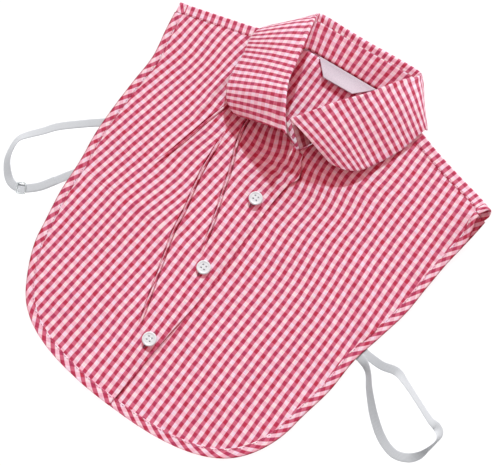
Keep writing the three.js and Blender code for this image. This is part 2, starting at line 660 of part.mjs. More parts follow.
// Button: a turned disc with a raised rim, a dished middle and four thread holes
function buttonGeometry() {
  const radius = BUTTON_ACROSS / 2;
  const profile = [
    [0, 0],
    [radius - 1.2, 0],
    [radius, 0.4 * BUTTON_THICK],
    [radius - 0.2, 0.8 * BUTTON_THICK],
    [radius - BUTTON_RIM / 2, BUTTON_THICK],
    [radius - BUTTON_RIM, BUTTON_THICK - 0.2],
    [radius - BUTTON_RIM - 0.6, BUTTON_THICK - BUTTON_DISH],
    [0, BUTTON_THICK - BUTTON_DISH],
  ].map(([x, y]) => new THREE.Vector2(x, y));
  let button = solidOf(new THREE.LatheGeometry(profile, 16).rotateX(Math.PI / 2));
  for (const [right, up] of [[1, 1], [1, -1], [-1, 1], [-1, -1]]) {
    const drill = new THREE.CylinderGeometry(BUTTON_HOLE / 2, BUTTON_HOLE / 2, 3 * BUTTON_THICK, 6);
    drill.rotateX(Math.PI / 2).translate((right * HOLE_SPACING) / 2, (up * HOLE_SPACING) / 2, 0);
    button = button.subtract(solidOf(drill));
  }
  return geometryOf(button);
}

// Flat elastic along a run; roll tips the band from lying flat towards standing on its edge
function strapPoint(rows, place, at) {
  const read = (column) => follow(rows, at, column);
  const roll = radians(read("roll"));
  const rest = (STRAP_WIDE / 2) * Math.abs(Math.sin(roll)) + (STRAP_THICK / 2) * Math.cos(roll);
  const x = place.side * (place.inside + place.reach * read("out"));
  const y = -place.down - place.span * read("along");
  return { middle: new THREE.Vector3(x, y, rest + Math.max(read("lift"), 0)), roll };
}

function strapLoop(rows, place, at, shift) {
  const step = 0.004;
  const { middle, roll } = strapPoint(rows, place, at);
  const ahead = strapPoint(rows, place, Math.min(at + step, 1)).middle;
  const along = ahead.sub(strapPoint(rows, place, Math.max(at - step, 0)).middle);
  const flat = new THREE.Vector3(-along.y, along.x, 0).normalize();
  const wide = flat.clone().multiplyScalar(Math.cos(roll)).add(new THREE.Vector3(0, 0, Math.sin(roll)));
  const thick = along.clone().cross(wide).setLength(STRAP_THICK / 2);
  const half = wide.setLength(STRAP_WIDE / 2);
  middle.add(shift);
  const corner = (a, b) => middle.clone().addScaledVector(half, a).addScaledVector(thick, b);
  return [corner(-1, -1), corner(1, -1), corner(1, 1), corner(-1, 1)];
}

const rightPlace = { side: -1, inside: LOOP_IN, down: LOOP_DOWN, reach: LOOP_REACH, span: LOOP_SPAN };
const leftPlace = { side: 1, inside: LEFT_IN, down: LEFT_DOWN, reach: LEFT_REACH, span: LEFT_SPAN };
const rightTable = spread(rightLoopRows);
const leftTable = spread(leftLoopRows);

function strapSolid(table, place, from, to, count, shift = new THREE.Vector3()) {
  return sweptSolid(steps(count).map((share) => strapLoop(table, place, mix(from, to, share), shift)));
}

// The right loop's strap comes back from the slider as a second layer, sewn down at the side
function strapTail() {
  const spot = (at) => strapPoint(rightTable, rightPlace, at).middle;
  const covered = (at) => -spot(at).x < halfWidth(-1, spot(at).y) + STRAP_WIDE / 2 + GAP;
  let [start, end] = [SLIDER_AT, 1];
  while (spot(start).distanceTo(spot(SLIDER_AT)) < SLIDER_LONG / 2 + 3 * GAP) start += 0.002;
  while (covered(end)) end -= 0.005;
  return strapSolid(rightTable, rightPlace, start, end, 8, new THREE.Vector3(0, 0, TAIL_STEP));
}

// Slider: a frame over the strap, with a middle bar beneath it
function sliderGeometry() {
  const inner = STRAP_WIDE + 4 * GAP;
  const outer = inner + 2 * SLIDER_BAR;
  const overStrap = SLIDER_LIFT + STRAP_THICK + GAP;
  const tall = overStrap + SLIDER_BAR * 0.7;
  const box = (x, y, low, long, wide, high) =>
    solidOf(new THREE.BoxGeometry(long, wide, high).translate(x, y, low + high / 2));
  const rail = (inner + SLIDER_BAR) / 2;
  const end = (SLIDER_LONG - SLIDER_BAR) / 2;
  let frame = box(0, rail, 0, SLIDER_LONG, SLIDER_BAR, tall);
  frame = frame.add(box(0, -rail, 0, SLIDER_LONG, SLIDER_BAR, tall));
  frame = frame.add(box(end, 0, overStrap, SLIDER_BAR, outer, tall - overStrap));
  frame = frame.add(box(-end, 0, overStrap, SLIDER_BAR, outer, tall - overStrap));
  frame = frame.add(box(0, 0, 0, SLIDER_BAR, outer, SLIDER_LIFT - GAP));
  return geometryOf(frame);
}

// Label: a blank folded tag sewn into the back neck seam, its lower corners folded in
function labelSolid() {
  const [right, left] = [neckPlan(6 / 16), neckPlan(10 / 16)];
  const grid = (height) =>
    steps(8).map((share) =>
      steps(4).map((down) => {
        const half = LABEL_WIDE / 2 - LABEL_MITRE * down;
        const x = LABEL_SHIFT + half * (2 * share - 1);
        const seam = mix(right.y, left.y, (x - right.x) / (left.x - right.x));
        const y = seam - STAND_THICK / 2 - GAP - 1.5 - LABEL_TALL * down;
        const lift = LABEL_CURL * down ** 2;
        return new THREE.Vector3(x, y, backLevel(x, y) + BACK_TOP + GAP + 0.2 + lift + height);
      }),
    );
  return wallSolid(grid(LABEL_THICK), grid(0));
}

// Materials
const gingham = new THREE.MeshStandardMaterial({ color: 0xdb7f92, roughness: 0.9, metalness: 0 });
const elastic = new THREE.MeshStandardMaterial({ color: 0xe4e4ea, roughness: 0.85, metalness: 0 });
const pearl = new THREE.MeshStandardMaterial({ color: 0xf0f0ee, roughness: 0.3, metalness: 0 });
const clear = new THREE.MeshStandardMaterial({ color: 0xdcdfe0, roughness: 0.25, metalness: 0 });
const woven = new THREE.MeshStandardMaterial({ color: 0xf2eef0, roughness: 0.8, metalness: 0 });

// Assembly
const garment = new THREE.Group();

function piece(name, geometry, material, position = new THREE.Vector3(), turn = 0) {
  const mesh = new THREE.Mesh(geometry, material);
  mesh.name = name;
  mesh.position.copy(position);
  mesh.rotation.z = turn;
  garment.add(mesh);
}

piece("back_panel", backPanel(), gingham);
piece("front_right_panel", frontPanel(-1, 17), gingham);
piece("front_left_panel", frontPanel(1, 16), gingham);
piece("shoulder_band_right", shoulderBand(-1), gingham);
piece("shoulder_band_left", shoulderBand(1), gingham);
piece("back_binding", backBinding(), gingham);
piece("front_right_binding", frontBinding(-1), gingham);
piece("front_left_binding", frontBinding(1), gingham);
piece("collar_stand", collarStand(), gingham);
piece("collar_leaf", collarLeaf(), gingham);

for (let index = 0; index < BUTTON_COUNT; index += 1) {
  const y = -FIRST_BUTTON - index * BUTTON_SPACING;
  const reach = BUTTON_ACROSS / 2;
  const seats = [[0, 0], [reach, 0], [-reach, 0], [0, reach], [0, -reach]];
  const seat = Math.max(...seats.map(([dx, dy]) => frontLevel(-1, dx, y + dy)));
  piece(`button_${index + 1}`, buttonGeometry(), pearl, new THREE.Vector3(0, y, seat + CLOTH + GAP));
}

piece("strap_right", strapSolid(rightTable, rightPlace, 0, 1, 42), elastic);
piece("strap_right_tail", strapTail(), elastic);
piece("strap_left", strapSolid(leftTable, leftPlace, 0, 1, 48), elastic);

const sliderSeat = strapPoint(rightTable, rightPlace, SLIDER_AT).middle;
const sliderNext = strapPoint(rightTable, rightPlace, SLIDER_AT + 0.01).middle;
const sliderTurn = Math.atan2(sliderNext.y - sliderSeat.y, sliderNext.x - sliderSeat.x);
piece("strap_slider", sliderGeometry(), clear, new THREE.Vector3(sliderSeat.x, sliderSeat.y, 0), sliderTurn);
piece("neck_label", labelSolid(), woven);

// The finished part stands on z = 0 with its origin under the middle of its box
const bib = new THREE.Group();
const box = new THREE.Box3().setFromObject(garment, true);
const middle = box.getCenter(new THREE.Vector3());
garment.position.set(-middle.x, -middle.y, -box.min.z);
bib.add(garment);

export default bib;
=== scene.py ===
# %% [markdown]
# # A gingham bib collar, dressed for the camera
# The part is a false shirt front and back with a turned-down collar, lying on a table. Its solids come from
# the CAD frame. Here each solid gets the piece of cloth, elastic or plastic that it stands for. The frame
# is loaded first, because every later piece takes its place from it.

# %% The frame
import bpy
import numpy as np
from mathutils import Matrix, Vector


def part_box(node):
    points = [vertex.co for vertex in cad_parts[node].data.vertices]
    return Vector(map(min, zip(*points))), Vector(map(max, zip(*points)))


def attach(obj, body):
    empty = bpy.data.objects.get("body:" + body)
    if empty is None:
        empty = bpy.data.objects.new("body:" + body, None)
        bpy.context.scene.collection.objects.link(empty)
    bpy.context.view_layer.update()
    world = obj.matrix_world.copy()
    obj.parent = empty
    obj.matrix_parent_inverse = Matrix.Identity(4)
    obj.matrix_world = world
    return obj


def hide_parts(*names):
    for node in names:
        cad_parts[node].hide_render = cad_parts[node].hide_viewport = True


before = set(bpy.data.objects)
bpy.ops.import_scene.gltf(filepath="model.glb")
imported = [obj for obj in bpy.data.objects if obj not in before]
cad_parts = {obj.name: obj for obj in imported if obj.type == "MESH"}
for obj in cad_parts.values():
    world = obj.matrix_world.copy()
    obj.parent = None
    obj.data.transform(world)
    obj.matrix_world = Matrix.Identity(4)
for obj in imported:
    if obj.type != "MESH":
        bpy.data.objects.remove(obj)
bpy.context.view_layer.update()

# %% [markdown]
# The garment was drawn with x = 0 on the button line and y = 0 where the collar opens. The first button
# lies 52 mm below that opening, so its box in the frame tells where those lines went. All shapes below are
# worked out in millimetres from them and turned into metres only when a mesh is made.

# %% Millimetres to the frame
FIRST_BUTTON = 52.0
button_low, button_high = (np.array(corner) * 1000 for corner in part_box("button_1"))
SHIFT = (button_low + button_high) / 2 - np.array([0, -FIRST_BUTTON, 0])
SHIFT[2] = 0


def metres(points):
    """Garment millimetres to frame metres: add the shift, divide by a thousand."""
    return (np.asarray(points, float) + SHIFT) / 1000


def solid_box(name):
    """Lowest and highest corner of a solid: frame metres times a thousand, less the shift."""
    return [np.array(corner) * 1000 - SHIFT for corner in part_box(name)]


print("shift in mm:", SHIFT.round(2))

# %% [markdown]
# The photograph looks down from high above, a little from the hem and turned about a third of a right
# angle. A camera is placed by the point that it looks at, its distance and two angles. It comes first, so
# that every render shows the photograph's view.

# %% Camera
scene = bpy.context.scene
AIM = np.array([12.0, -76.0, 0.0])
AZIMUTH, ELEVATION, DISTANCE = np.radians(36.3), np.radians(78.0), 567.0
LENS = 51.34
level_share = np.cos(ELEVATION)
backwards = np.array([np.sin(AZIMUTH) * level_share, -np.cos(AZIMUTH) * level_share, np.sin(ELEVATION)])
camera = bpy.data.objects.new("camera", bpy.data.cameras.new("camera"))
camera.location = metres(AIM + DISTANCE * backwards)
camera.rotation_euler = Vector(-backwards).to_track_quat("-Z", "Y").to_euler()
camera.data.lens = LENS
scene.collection.objects.link(camera)
scene.camera = camera
scene.view_settings.view_transform = "Standard"
print("camera at", tuple(round(v, 3) for v in camera.location))

# %% [markdown]
# Every piece is a sheet or a swept strip, so one helper turns a grid of points into a mesh of quads. The
# grid may close on itself round its columns, as a strip's section does, and its two ends are then closed by
# quads across the section. The cloth pattern must follow the threads and not the room, so the helper also
# stores, at each point, where that point lay on the flat cloth before it was cut and sewn. The materials
# read this attribute.

# %% Grids to meshes
def quads(numbers):
    """Corners of the quads between neighbouring rows and columns of a grid of vertex numbers."""
    corners = [numbers[:-1, :-1], numbers[:-1, 1:], numbers[1:, 1:], numbers[1:, :-1]]
    return np.stack(corners, -1).reshape(-1, 4)


def cap(ring):
    """Quads across a closed ring of points: each joins two points to the two that lie opposite."""
    half = len(ring) // 2
    there, back = ring[:half], ring[::-1][:half]
    return np.stack([there[:-1], there[1:], back[1:], back[:-1]], -1)


def mesh_piece(name, points, faces, material, cloth=None):
    """A mesh object from points in millimetres and quads; cloth comes with its flat positions and painted
    shade.
    """
    mesh = bpy.data.meshes.new(name)
    faces = np.asarray(faces, np.int32)
    mesh.vertices.add(len(points))
    mesh.vertices.foreach_set("co", metres(points).astype(np.float32).ravel())
    mesh.loops.add(faces.size)
    mesh.loops.foreach_set("vertex_index", faces.ravel())
    mesh.polygons.add(len(faces))
    mesh.polygons.foreach_set("loop_start", np.arange(0, faces.size, faces.shape[1], dtype=np.int32))
    mesh.polygons.foreach_set("use_smooth", np.ones(len(faces), bool))
    if cloth is not None:
        flat = np.concatenate([cloth, np.zeros((len(cloth), 3 - cloth.shape[1]))], 1)
        attribute = mesh.attributes.new("cloth", "FLOAT_VECTOR", "POINT")
        attribute.data.foreach_set("vector", flat.astype(np.float32).ravel())
    mesh.update(calc_edges=True)
    mesh.validate()
    mesh.materials.append(material)
    piece = bpy.data.objects.new(name, mesh)
    scene.collection.objects.link(piece)
    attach(piece, "root")
    return piece


def sheet_piece(name, grid, material, cloth, thickness, side=-1.0):
    """A sheet through a grid of points; Solidify gives it its thickness, below the grid for side -1."""
    faces = quads(np.arange(grid.shape[0] * grid.shape[1]).reshape(grid.shape[:2]))
    piece = mesh_piece(name, grid.reshape(-1, 3), faces, material, cloth.reshape(-1, cloth.shape[-1]))
    wall = piece.modifiers.new("thickness", "SOLIDIFY")
    wall.thickness = thickness / 1000
    wall.offset = side
    return piece


def swept_piece(name, grid, material, cloth=None, closed=False):
    """A closed section (the grid's columns) carried along a path (its rows); an open path gets end caps."""
    numbers = np.arange(grid.shape[0] * grid.shape[1]).reshape(grid.shape[:2])
    around = np.concatenate([numbers, numbers[:, :1]], 1)
    if closed:
        faces = quads(np.concatenate([around, around[:1]]))
    else:
        faces = np.concatenate([quads(around), cap(numbers[0])[:, ::-1], cap(numbers[-1])])
    flat = None if cloth is None else cloth.reshape(-1, cloth.shape[-1])
    return mesh_piece(name, grid.reshape(-1, 3), faces, material, flat)


# %% [markdown]
# Several measures of the garment change along an edge, such as the width of the bib from hem to shoulder. A
# short table gives them at a few places, and a smooth curve through its rows gives every place between. The
# curve is a cubic whose slope at each row is the slope between its two neighbours.

# %% Reading a table smoothly
def ease(value):
    """0 to 1 with a soft start and a soft end: three squares less two cubes."""
    value = np.clip(value, 0, 1)
    return value**2 * (3 - 2 * value)


def follow(places, values, at):
    """Value of a table at any place, on cubic pieces with the slopes of the neighbouring rows."""
    places, values, at = (np.asarray(item, float) for item in (places, values, at))
    last = len(places) - 1
    low = np.clip(np.searchsorted(places, at, "right") - 1, 0, last - 1)
    before, after = np.maximum(low - 1, 0), np.minimum(low + 2, last)
    span = places[low + 1] - places[low]
    share = np.clip((at - places[low]) / span, 0, 1)
    slope_in = (values[low + 1] - values[before]) / (places[low + 1] - places[before]) * span
    slope_out = (values[after] - values[low]) / (places[after] - places[low]) * span
    square, cube = share**2, share**3
    start = values[low] * (2 * cube - 3 * square + 1) + slope_in * (cube - 2 * square + share)
    return start + values[low + 1] * (3 * square - 2 * cube) + slope_out * (cube - square)


def bump(distance, width):
    """A smooth hill, 1 in the middle: the exponential of minus the squared distance."""
    return np.exp(-((distance / width) ** 2))


# %% [markdown]
# A few small measures come back in nearly every piece: directions, lengths along a line, heights over a
# plan, and the angles and rounded corners of the sections that are carried along the lines. The direction
# of a curve at a place is read from a nudge ahead of it to a nudge behind it.

# %% Lengths, heights and rounds
NUDGE = 0.004


def unit(vectors):
    """Vectors made one long: each is divided by its own length."""
    return vectors / np.linalg.norm(vectors, axis=-1, keepdims=True)


def run_along(line):
    """How far along a line each of its points lies: the steps before it, added up."""
    return np.concatenate([[0], np.cumsum(np.linalg.norm(np.diff(line, axis=0), axis=1))])


def run_across(grid):
    """How far along its row each point of a grid lies: the steps before it, added up."""
    steps = np.linalg.norm(np.diff(grid, axis=1), axis=2)
    return np.concatenate([np.zeros((len(grid), 1)), np.cumsum(steps, 1)], 1)


def at_height(plan, z):
    """Points given from above, with their heights as the third number."""
    return np.concatenate([plan, z[..., None]], -1)


def circle(count):
    """Evenly spaced angles of one full turn, without the last one, which would meet the first."""
    return np.linspace(0, 2 * np.pi, count + 1)[:-1]


def signed_power(wave, power):
    """A sine or cosine raised to a power with its sign kept: a power below 1 makes round shapes squarer."""
    return np.sign(wave) * abs(wave) ** power


# %% [markdown]
# The outline of the bib is a nearly straight side on top of a round lower corner. The corner is a rounded
# rectangle's, half way between an ellipse and a square. A place q on it runs from 0 at the hem's middle to
# 1 where the corner ends and 2 at the shoulder tip. Side -1 is the wearer's right, which is the viewer's
# left.

# %% Outline
HALF_WIDE, FRONT_LONG, TIP_HIGH = 155.0, 246.0, 50.0
CORNER_DEEP, CORNER_POWER = 75.0, 2.4
SIDE_PLACES = [0, 0.12, 0.24, 0.36, 0.46, 0.55, 0.64, 0.73, 0.82, 0.91, 1]
SIDE_SHARES = {
    -1: [0.820, 0.752, 0.789, 0.839, 0.862, 0.893, 0.907, 0.913, 0.917, 0.958, 0.994],
    1: [0.860, 0.802, 0.814, 0.858, 0.873, 0.912, 0.948, 0.962, 0.978, 1.006, 1.026],
}


def half_width(side, y):
    """Half the bib's width at a height, on either side of the button line."""
    at = np.clip((y + FRONT_LONG) / (FRONT_LONG + TIP_HIGH), 0, 1)
    right, left = (follow(SIDE_PLACES, SIDE_SHARES[which], at) for which in (-1, 1))
    return HALF_WIDE * np.where(side < 0, right, left)


def outline_point(side, q):
    """The outline: a superellipse corner up to q = 1, then straight up the table of widths."""
    corner_top = CORNER_DEEP - FRONT_LONG
    turn = np.radians(90 * (1 - np.clip(q, 0, 1)))
    rise = np.where(q < 1, -CORNER_DEEP * np.sin(turn) ** (2 / CORNER_POWER), 0)
    y = corner_top + rise + np.clip(q - 1, 0, 1) * (TIP_HIGH - corner_top)
    x = side * half_width(side, y) * np.where(q < 1, np.cos(turn) ** (2 / CORNER_POWER), 1)
    return np.stack([x, y], -1)


def rim_point(side, q, inset):
    """The outline moved inwards. A negative q goes on past the hem's middle on to the other side."""
    q, inset = np.broadcast_arrays(np.asarray(q, float), np.asarray(inset, float))
    side = np.where(q < 0, -side, side)
    q = np.abs(q)
    along = outline_point(side, np.minimum(q + NUDGE, 2)) - outline_point(side, np.maximum(q - NUDGE, 0))
    along[q < 1e-6] = np.stack([side, 0 * side], -1)[q < 1e-6]
    along = unit(along)
    inwards = np.stack([-side * along[..., 1], side * along[..., 0]], -1)
    return outline_point(side, q) + inwards * inset[..., None]


# %% [markdown]
# The shoulder is a straight fold from the shoulder tip up to the neck. Cloth and bindings end along a seam
# that runs beside it, and each strand of a binding meets that seam at its own place, which halving an
# interval finds.

# %% Shoulder line
SHOULDER_RISE, NECK_END = 31.0, 49.0


def tip_x(side):
    """Where the shoulder tip lies."""
    return side * HALF_WIDE * SIDE_SHARES[side][-1]


def shoulder_point(side, share, inset):
    """A point of the fold, a share of the way from tip to neck, moved towards the hem."""
    tip, neck = np.array([tip_x(side), TIP_HIGH]), np.array([side * NECK_END, TIP_HIGH + SHOULDER_RISE])
    along = (neck - tip) / np.linalg.norm(neck - tip)
    inwards = np.array([-side * along[1], side * along[0]])
    return tip + np.asarray(share)[..., None] * (neck - tip) + np.asarray(inset)[..., None] * inwards


def seam_place(side, inset, seam):
    """The q at which the outline, moved inwards, reaches the shoulder seam; found by halving."""
    tip, neck = shoulder_point(side, 0.0, seam), shoulder_point(side, 1.0, seam)
    low, high = np.zeros_like(inset), np.full_like(inset, 2.0)
    for _ in range(30):
        half = (low + high) / 2
        point = rim_point(side, half, inset)
        above = point[..., 1] > tip[1] + (point[..., 0] - tip[0]) / (neck[0] - tip[0]) * (neck[1] - tip[1])
        low, high = np.where(above, low, half), np.where(above, half, high)
    return high


# %% [markdown]
# The collar is described section by section, from the right front end round the back of the neck to the
# left front end. A row says where the stand is sewn to the neckline, which way it leans, and where the
# turned-down leaf goes.

# %% Collar table
NECK_HALF, NECK_DEEP, NECK_RISE, NECK_SPREAD = 47.0, 82.0, 10.0, 30.0
NECK_COLUMNS = ["across", "along", "rise", "lean_x", "lean_y", "up", "heading", "run", "float", "under"]
NECK_ROWS = np.array([
    [0.00, 0.000, 1.00, -0.35, -0.10, 0.76, 186, 1.00, 0.92, 0],
    [-0.47, 0.170, 0.85, -0.07, 0.17, 1.00, 193, 1.00, 0.77, 0],
    [-0.72, 0.415, 0.50, 0.07, 0.00, 0.98, 190, 0.95, 0.42, 0],
    [-0.89, 0.634, 0.15, 0.17, 0.00, 0.93, 190, 0.91, 0.17, 0],
    [-1.00, 0.817, 0.00, 0.00, 0.70, 0.60, 212, 0.90, 0.10, 0],
    [-0.96, 0.915, 0.00, -0.20, 0.90, 0.28, 223, 0.82, 0.04, 0],
    [-0.85, 0.963, 0.00, -0.30, 0.97, 0.26, 228, 0.67, 0.04, 1],
    [-0.45, 0.982, 0.00, -0.12, 0.97, 0.24, 257, 0.72, 0.00, 1],
    [-0.04, 0.994, 0.00, 0.00, 0.98, 0.23, 270, 0.72, 0.00, 1],
    [0.40, 1.012, 0.00, 0.07, 0.99, 0.24, 282, 0.74, 0.00, 1],
    [0.83, 1.024, 0.00, 0.20, 0.97, 0.28, 310, 0.68, 0.04, 1],
    [0.92, 0.976, 0.00, 0.12, 0.92, 0.33, 316, 0.85, 0.04, 0],
    [0.88, 0.890, 0.00, -0.07, 0.70, 0.60, 332, 0.83, 0.10, 0],
    [0.64, 0.671, 0.15, -0.20, 0.30, 0.90, 343, 0.96, 0.17, 0],
    [0.43, 0.439, 0.50, -0.34, 0.24, 0.90, 342, 1.05, 0.32, 0],
    [0.26, 0.195, 0.85, -0.46, 0.26, 0.88, 349, 1.08, 0.52, 0],
    [0.11, 0.000, 1.00, -0.56, 0.26, 0.84, 355, 1.00, 0.77, 0],
])
NECK_PLACES = np.linspace(0, 1, len(NECK_ROWS))
NECK_BACK = np.array([6 / 16, 10 / 16])  # both ends of the neckline's stretch across the back


def neck(column, at):
    """One column of the collar table at any place from 0 to 1 along the neckline."""
    return follow(NECK_PLACES, NECK_ROWS[:, NECK_COLUMNS.index(column)], at)


def neck_plan(at):
    """The neckline seen from above."""
    return np.stack([neck("across", at) * NECK_HALF, neck("along", at) * NECK_DEEP], -1)


def outwards(curve, at):
    """The direction square to a plan curve, away from the neck."""
    travel = curve(np.minimum(at + NUDGE, 1)) - curve(np.maximum(at - NUDGE, 0))
    return unit(np.stack([-travel[..., 1], travel[..., 0]], -1))


# %% [markdown]
# The cloth lies in layers: the back, its binding, the straps, the front, and the other front on top of it
# where they lap. It climbs towards the collar, stands up at the open shoulder tip and rests on the
# tucked-in back of the collar. One function gives the height of each layer, so that pieces which lie on
# each other agree.

# %% Heights of the layers
CLOTH, GAP, AIR = 1.0, 0.35, 1.7
BINDING_WIDE, BINDING_THICK = 7.0, 1.2
UNDERLAP, LAP_SLOPE, LAP_MARGIN = 14.0, 14.0, 4.0
LEAF_THICK, STAND_THICK = 1.4, 1.4
SHOULDER_ROLL, ROLL_SPREAD = 9.0, 34.0
FRONT_LEVEL = BINDING_THICK + AIR
LAP_STEP = BINDING_THICK + GAP
TUCK_LIFT, TUCK_HALF, TUCK_FADE = LEAF_THICK + 2 * GAP, 2 * NECK_HALF, 16.0

neck_marks = np.linspace(0, 1, 97)
mark_points, mark_rises = neck_plan(neck_marks), np.maximum(neck("rise", neck_marks), 0)


def neck_climb(x, y):
    """Rise towards the collar: that of the nearest places on the neckline, fading with distance from it."""
    away = np.hypot(x[..., None] - mark_points[:, 0], y[..., None] - mark_points[:, 1])
    nearest = away.min(-1)
    weight = np.exp(-(away - nearest[..., None]) / 1.5)
    return (weight * mark_rises).sum(-1) / weight.sum(-1) * NECK_RISE * bump(nearest, NECK_SPREAD)


def back_level(x, y):
    """The back lies on the table; over the tucked-in collar leaf it is lifted by the leaf's thickness."""
    return TUCK_LIFT * ease((TUCK_HALF - abs(x)) / TUCK_FADE) * ease((y - 0.66 * NECK_DEEP) / TUCK_FADE)


def front_level(side, x, y):
    """Underside of a front: its layer, the lap, the climb to the collar and the open tip's roll added up."""
    lapped = LAP_STEP * ease((x + UNDERLAP + LAP_MARGIN + LAP_SLOPE) / LAP_SLOPE) if side < 0 else 0
    roll = SHOULDER_ROLL * bump(np.hypot(x - tip_x(1), y - TIP_HIGH), ROLL_SPREAD)
    return FRONT_LEVEL + 0.5 * back_level(x, y) + lapped + neck_climb(x, y) + roll


# %% [markdown]
# The cloth is a yarn-dyed gingham. Its stripes of red warp run from collar to hem and are strong, and the
# stripes of weft are fainter, so that red squares are joined into red lines. This could be a picture, but a
# picture has a fixed sharpness. Instead a node group works the pattern out from the cloth attribute: two
# square waves with soft edges say which threads are red, and four colours follow from that. Fine thread
# noise and a woven relief come with it. The third number of the attribute is painted shade: it darkens the
# colour, the red less, in narrow folds, beside edges and under the collar, where hardly any light comes.

# %% The weave as a node group
WARP_PERIOD, WEFT_PERIOD, YARN, FIBRE_LONG = 6.35, 6.99, 0.32, 24


def group_socket(group, name, way, kind, value=None):
    """Adds a named input or output to a node group."""
    socket = group.interface.new_socket(name=name, in_out=way, socket_type=kind)
    if value is not None:
        socket.default_value = value
    return socket


class Nodes:
    """A short way to add nodes to a tree; math, ramp, mix, noise and vector return an output socket."""

    def __init__(self, tree):
        self.tree = tree

    def add(self, kind, inputs=(), **settings):
        node = self.tree.nodes.new(kind)
        for key, value in settings.items():
            setattr(node, key, value)
        for key, value in dict(inputs).items():
            self.put(node.inputs[key], value)
        return node

    def put(self, socket, value):
        if isinstance(value, bpy.types.NodeSocket):
            self.tree.links.new(value, socket)
        elif value is not None:
            socket.default_value = value

    def math(self, operation, *values):
        node = self.add("ShaderNodeMath", operation=operation)
        for socket, value in zip(node.inputs, values):
            self.put(socket, value)
        return node.outputs[0]

    def ramp(self, value, low, high, to_low=0.0, to_high=1.0):
        node = self.add("ShaderNodeMapRange", interpolation_type="SMOOTHSTEP")
        for socket, item in zip(node.inputs, (value, low, high, to_low, to_high)):
            self.put(socket, item)
        return node.outputs[0]

    def mix(self, share, first, second, blend="MIX"):
        node = self.add("ShaderNodeMix", data_type="RGBA", blend_type=blend)
        self.put(node.inputs[0], share)
        self.put(node.inputs[6], first)
        self.put(node.inputs[7], second)
        return node.outputs[2]

    def noise(self, vector, scale, detail=2.0, roughness=0.5):
        inputs = {"Vector": vector, "Scale": scale, "Detail": detail, "Roughness": roughness}
        return self.add("ShaderNodeTexNoise", inputs).outputs["Fac"]

    def vector(self, x, y):
        return self.add("ShaderNodeCombineXYZ", {"X": x, "Y": y}).outputs[0]

    def emboss(self, shader, height, strength, distance):
        inputs = {"Strength": strength, "Distance": distance, "Height": height}
        self.put(shader.inputs["Normal"], self.add("ShaderNodeBump", inputs).outputs["Normal"])


def colour(red, green, blue):
    """A screen colour, 0 to 255 a channel, as linear light."""
    part = np.array([red, green, blue]) / 255
    linear = np.where(part <= 0.04045, part / 12.92, ((part + 0.055) / 1.055) ** 2.4)
    return (*map(float, linear), 1.0)


def gingham_group():
    """Cloth position in mm and painted shade to colour, relief and roughness of the checked weave."""
    group = bpy.data.node_groups.new("Gingham weave", "ShaderNodeTree")
    group_socket(group, "Cloth", "INPUT", "NodeSocketVector")
    for name, kind in (("Color", "Color"), ("Height", "Float"), ("Roughness", "Float")):
        group_socket(group, name, "OUTPUT", "NodeSocket" + kind)
    n = Nodes(group)
    start, end = n.add("NodeGroupInput"), n.add("NodeGroupOutput")
    cloth = start.outputs["Cloth"]
    apart = n.add("ShaderNodeSeparateXYZ", {"Vector": cloth})
    u, v, depth = apart.outputs["X"], apart.outputs["Y"], apart.outputs["Z"]
    wander = n.math("MULTIPLY", n.math("SUBTRACT", n.noise(cloth, 0.11, 1.0), 0.5), 0.9)
    masks, wobbles = [], []
    for along, across, period in ((u, v, WARP_PERIOD), (v, u, WEFT_PERIOD)):
        place = n.math("DIVIDE", n.math("ADD", along, wander), period)
        wave = n.math("ABSOLUTE", n.math("SUBTRACT", n.math("MULTIPLY", n.math("FRACT", place), 2.0), 1.0))
        masks.append(n.ramp(wave, 0.41, 0.59))
        fibres = n.vector(n.math("DIVIDE", along, YARN), n.math("DIVIDE", across, FIBRE_LONG * YARN))
        wobbles.append(n.noise(fibres, 1.0, 1.0))
    thread = n.math("MULTIPLY", n.math("SUBTRACT", n.math("ADD", *wobbles), 1.0), 0.55)
    patch = n.noise(cloth, 0.16, 2.0)
    dark = n.mix(n.ramp(patch, 0.35, 0.65), colour(191, 46, 74), colour(183, 58, 96))
    blush = n.ramp(n.noise(cloth, 0.23, 1.0), 0.4, 0.6)
    white = n.mix(blush, colour(254, 219, 223), colour(248, 214, 231))
    light = n.mix(masks[1], white, colour(247, 186, 203))
    deep = n.mix(masks[1], colour(212, 98, 126), dark)
    checks = n.mix(masks[0], light, deep)
    # Painted shade: the third number darkens the colour, the red less, so shaded cloth turns deeper red.
    lift = n.math("MULTIPLY", n.math("ADD", thread, 1.0), n.math("SUBTRACT", 1.0, depth))
    redder = n.math("MULTIPLY", lift, n.math("ADD", n.math("MULTIPLY", depth, 0.8), 1.0))
    shading = n.add("ShaderNodeCombineColor", {"Red": redder, "Green": lift, "Blue": lift}).outputs[0]
    tint = n.mix(1.0, checks, shading, "MULTIPLY")
    turn = np.pi / YARN
    over = n.math("SINE", n.math("MULTIPLY", u, turn))
    under = n.math("SINE", n.math("MULTIPLY", v, turn))
    relief = n.math("ADD", n.math("MULTIPLY", over, under), n.math("MULTIPLY", thread, 2.0))
    n.put(end.inputs["Color"], tint)
    n.put(end.inputs["Height"], relief)
    n.put(end.inputs["Roughness"], n.math("ADD", 0.86, n.math("MULTIPLY", thread, 0.3)))
    return group


weave = gingham_group()


def finish(name, roughness=0.8, **sockets):
    """A material with its Principled shader; the sockets named here are the same all over the surface."""
    material = bpy.data.materials.new(name)
    material.use_nodes = True
    n = Nodes(material.node_tree)
    shader = material.node_tree.nodes["Principled BSDF"]
    n.put(shader.inputs["Roughness"], roughness)
    for key, value in sockets.items():
        n.put(shader.inputs[key.replace("_", " ")], value)
    return material, n, shader


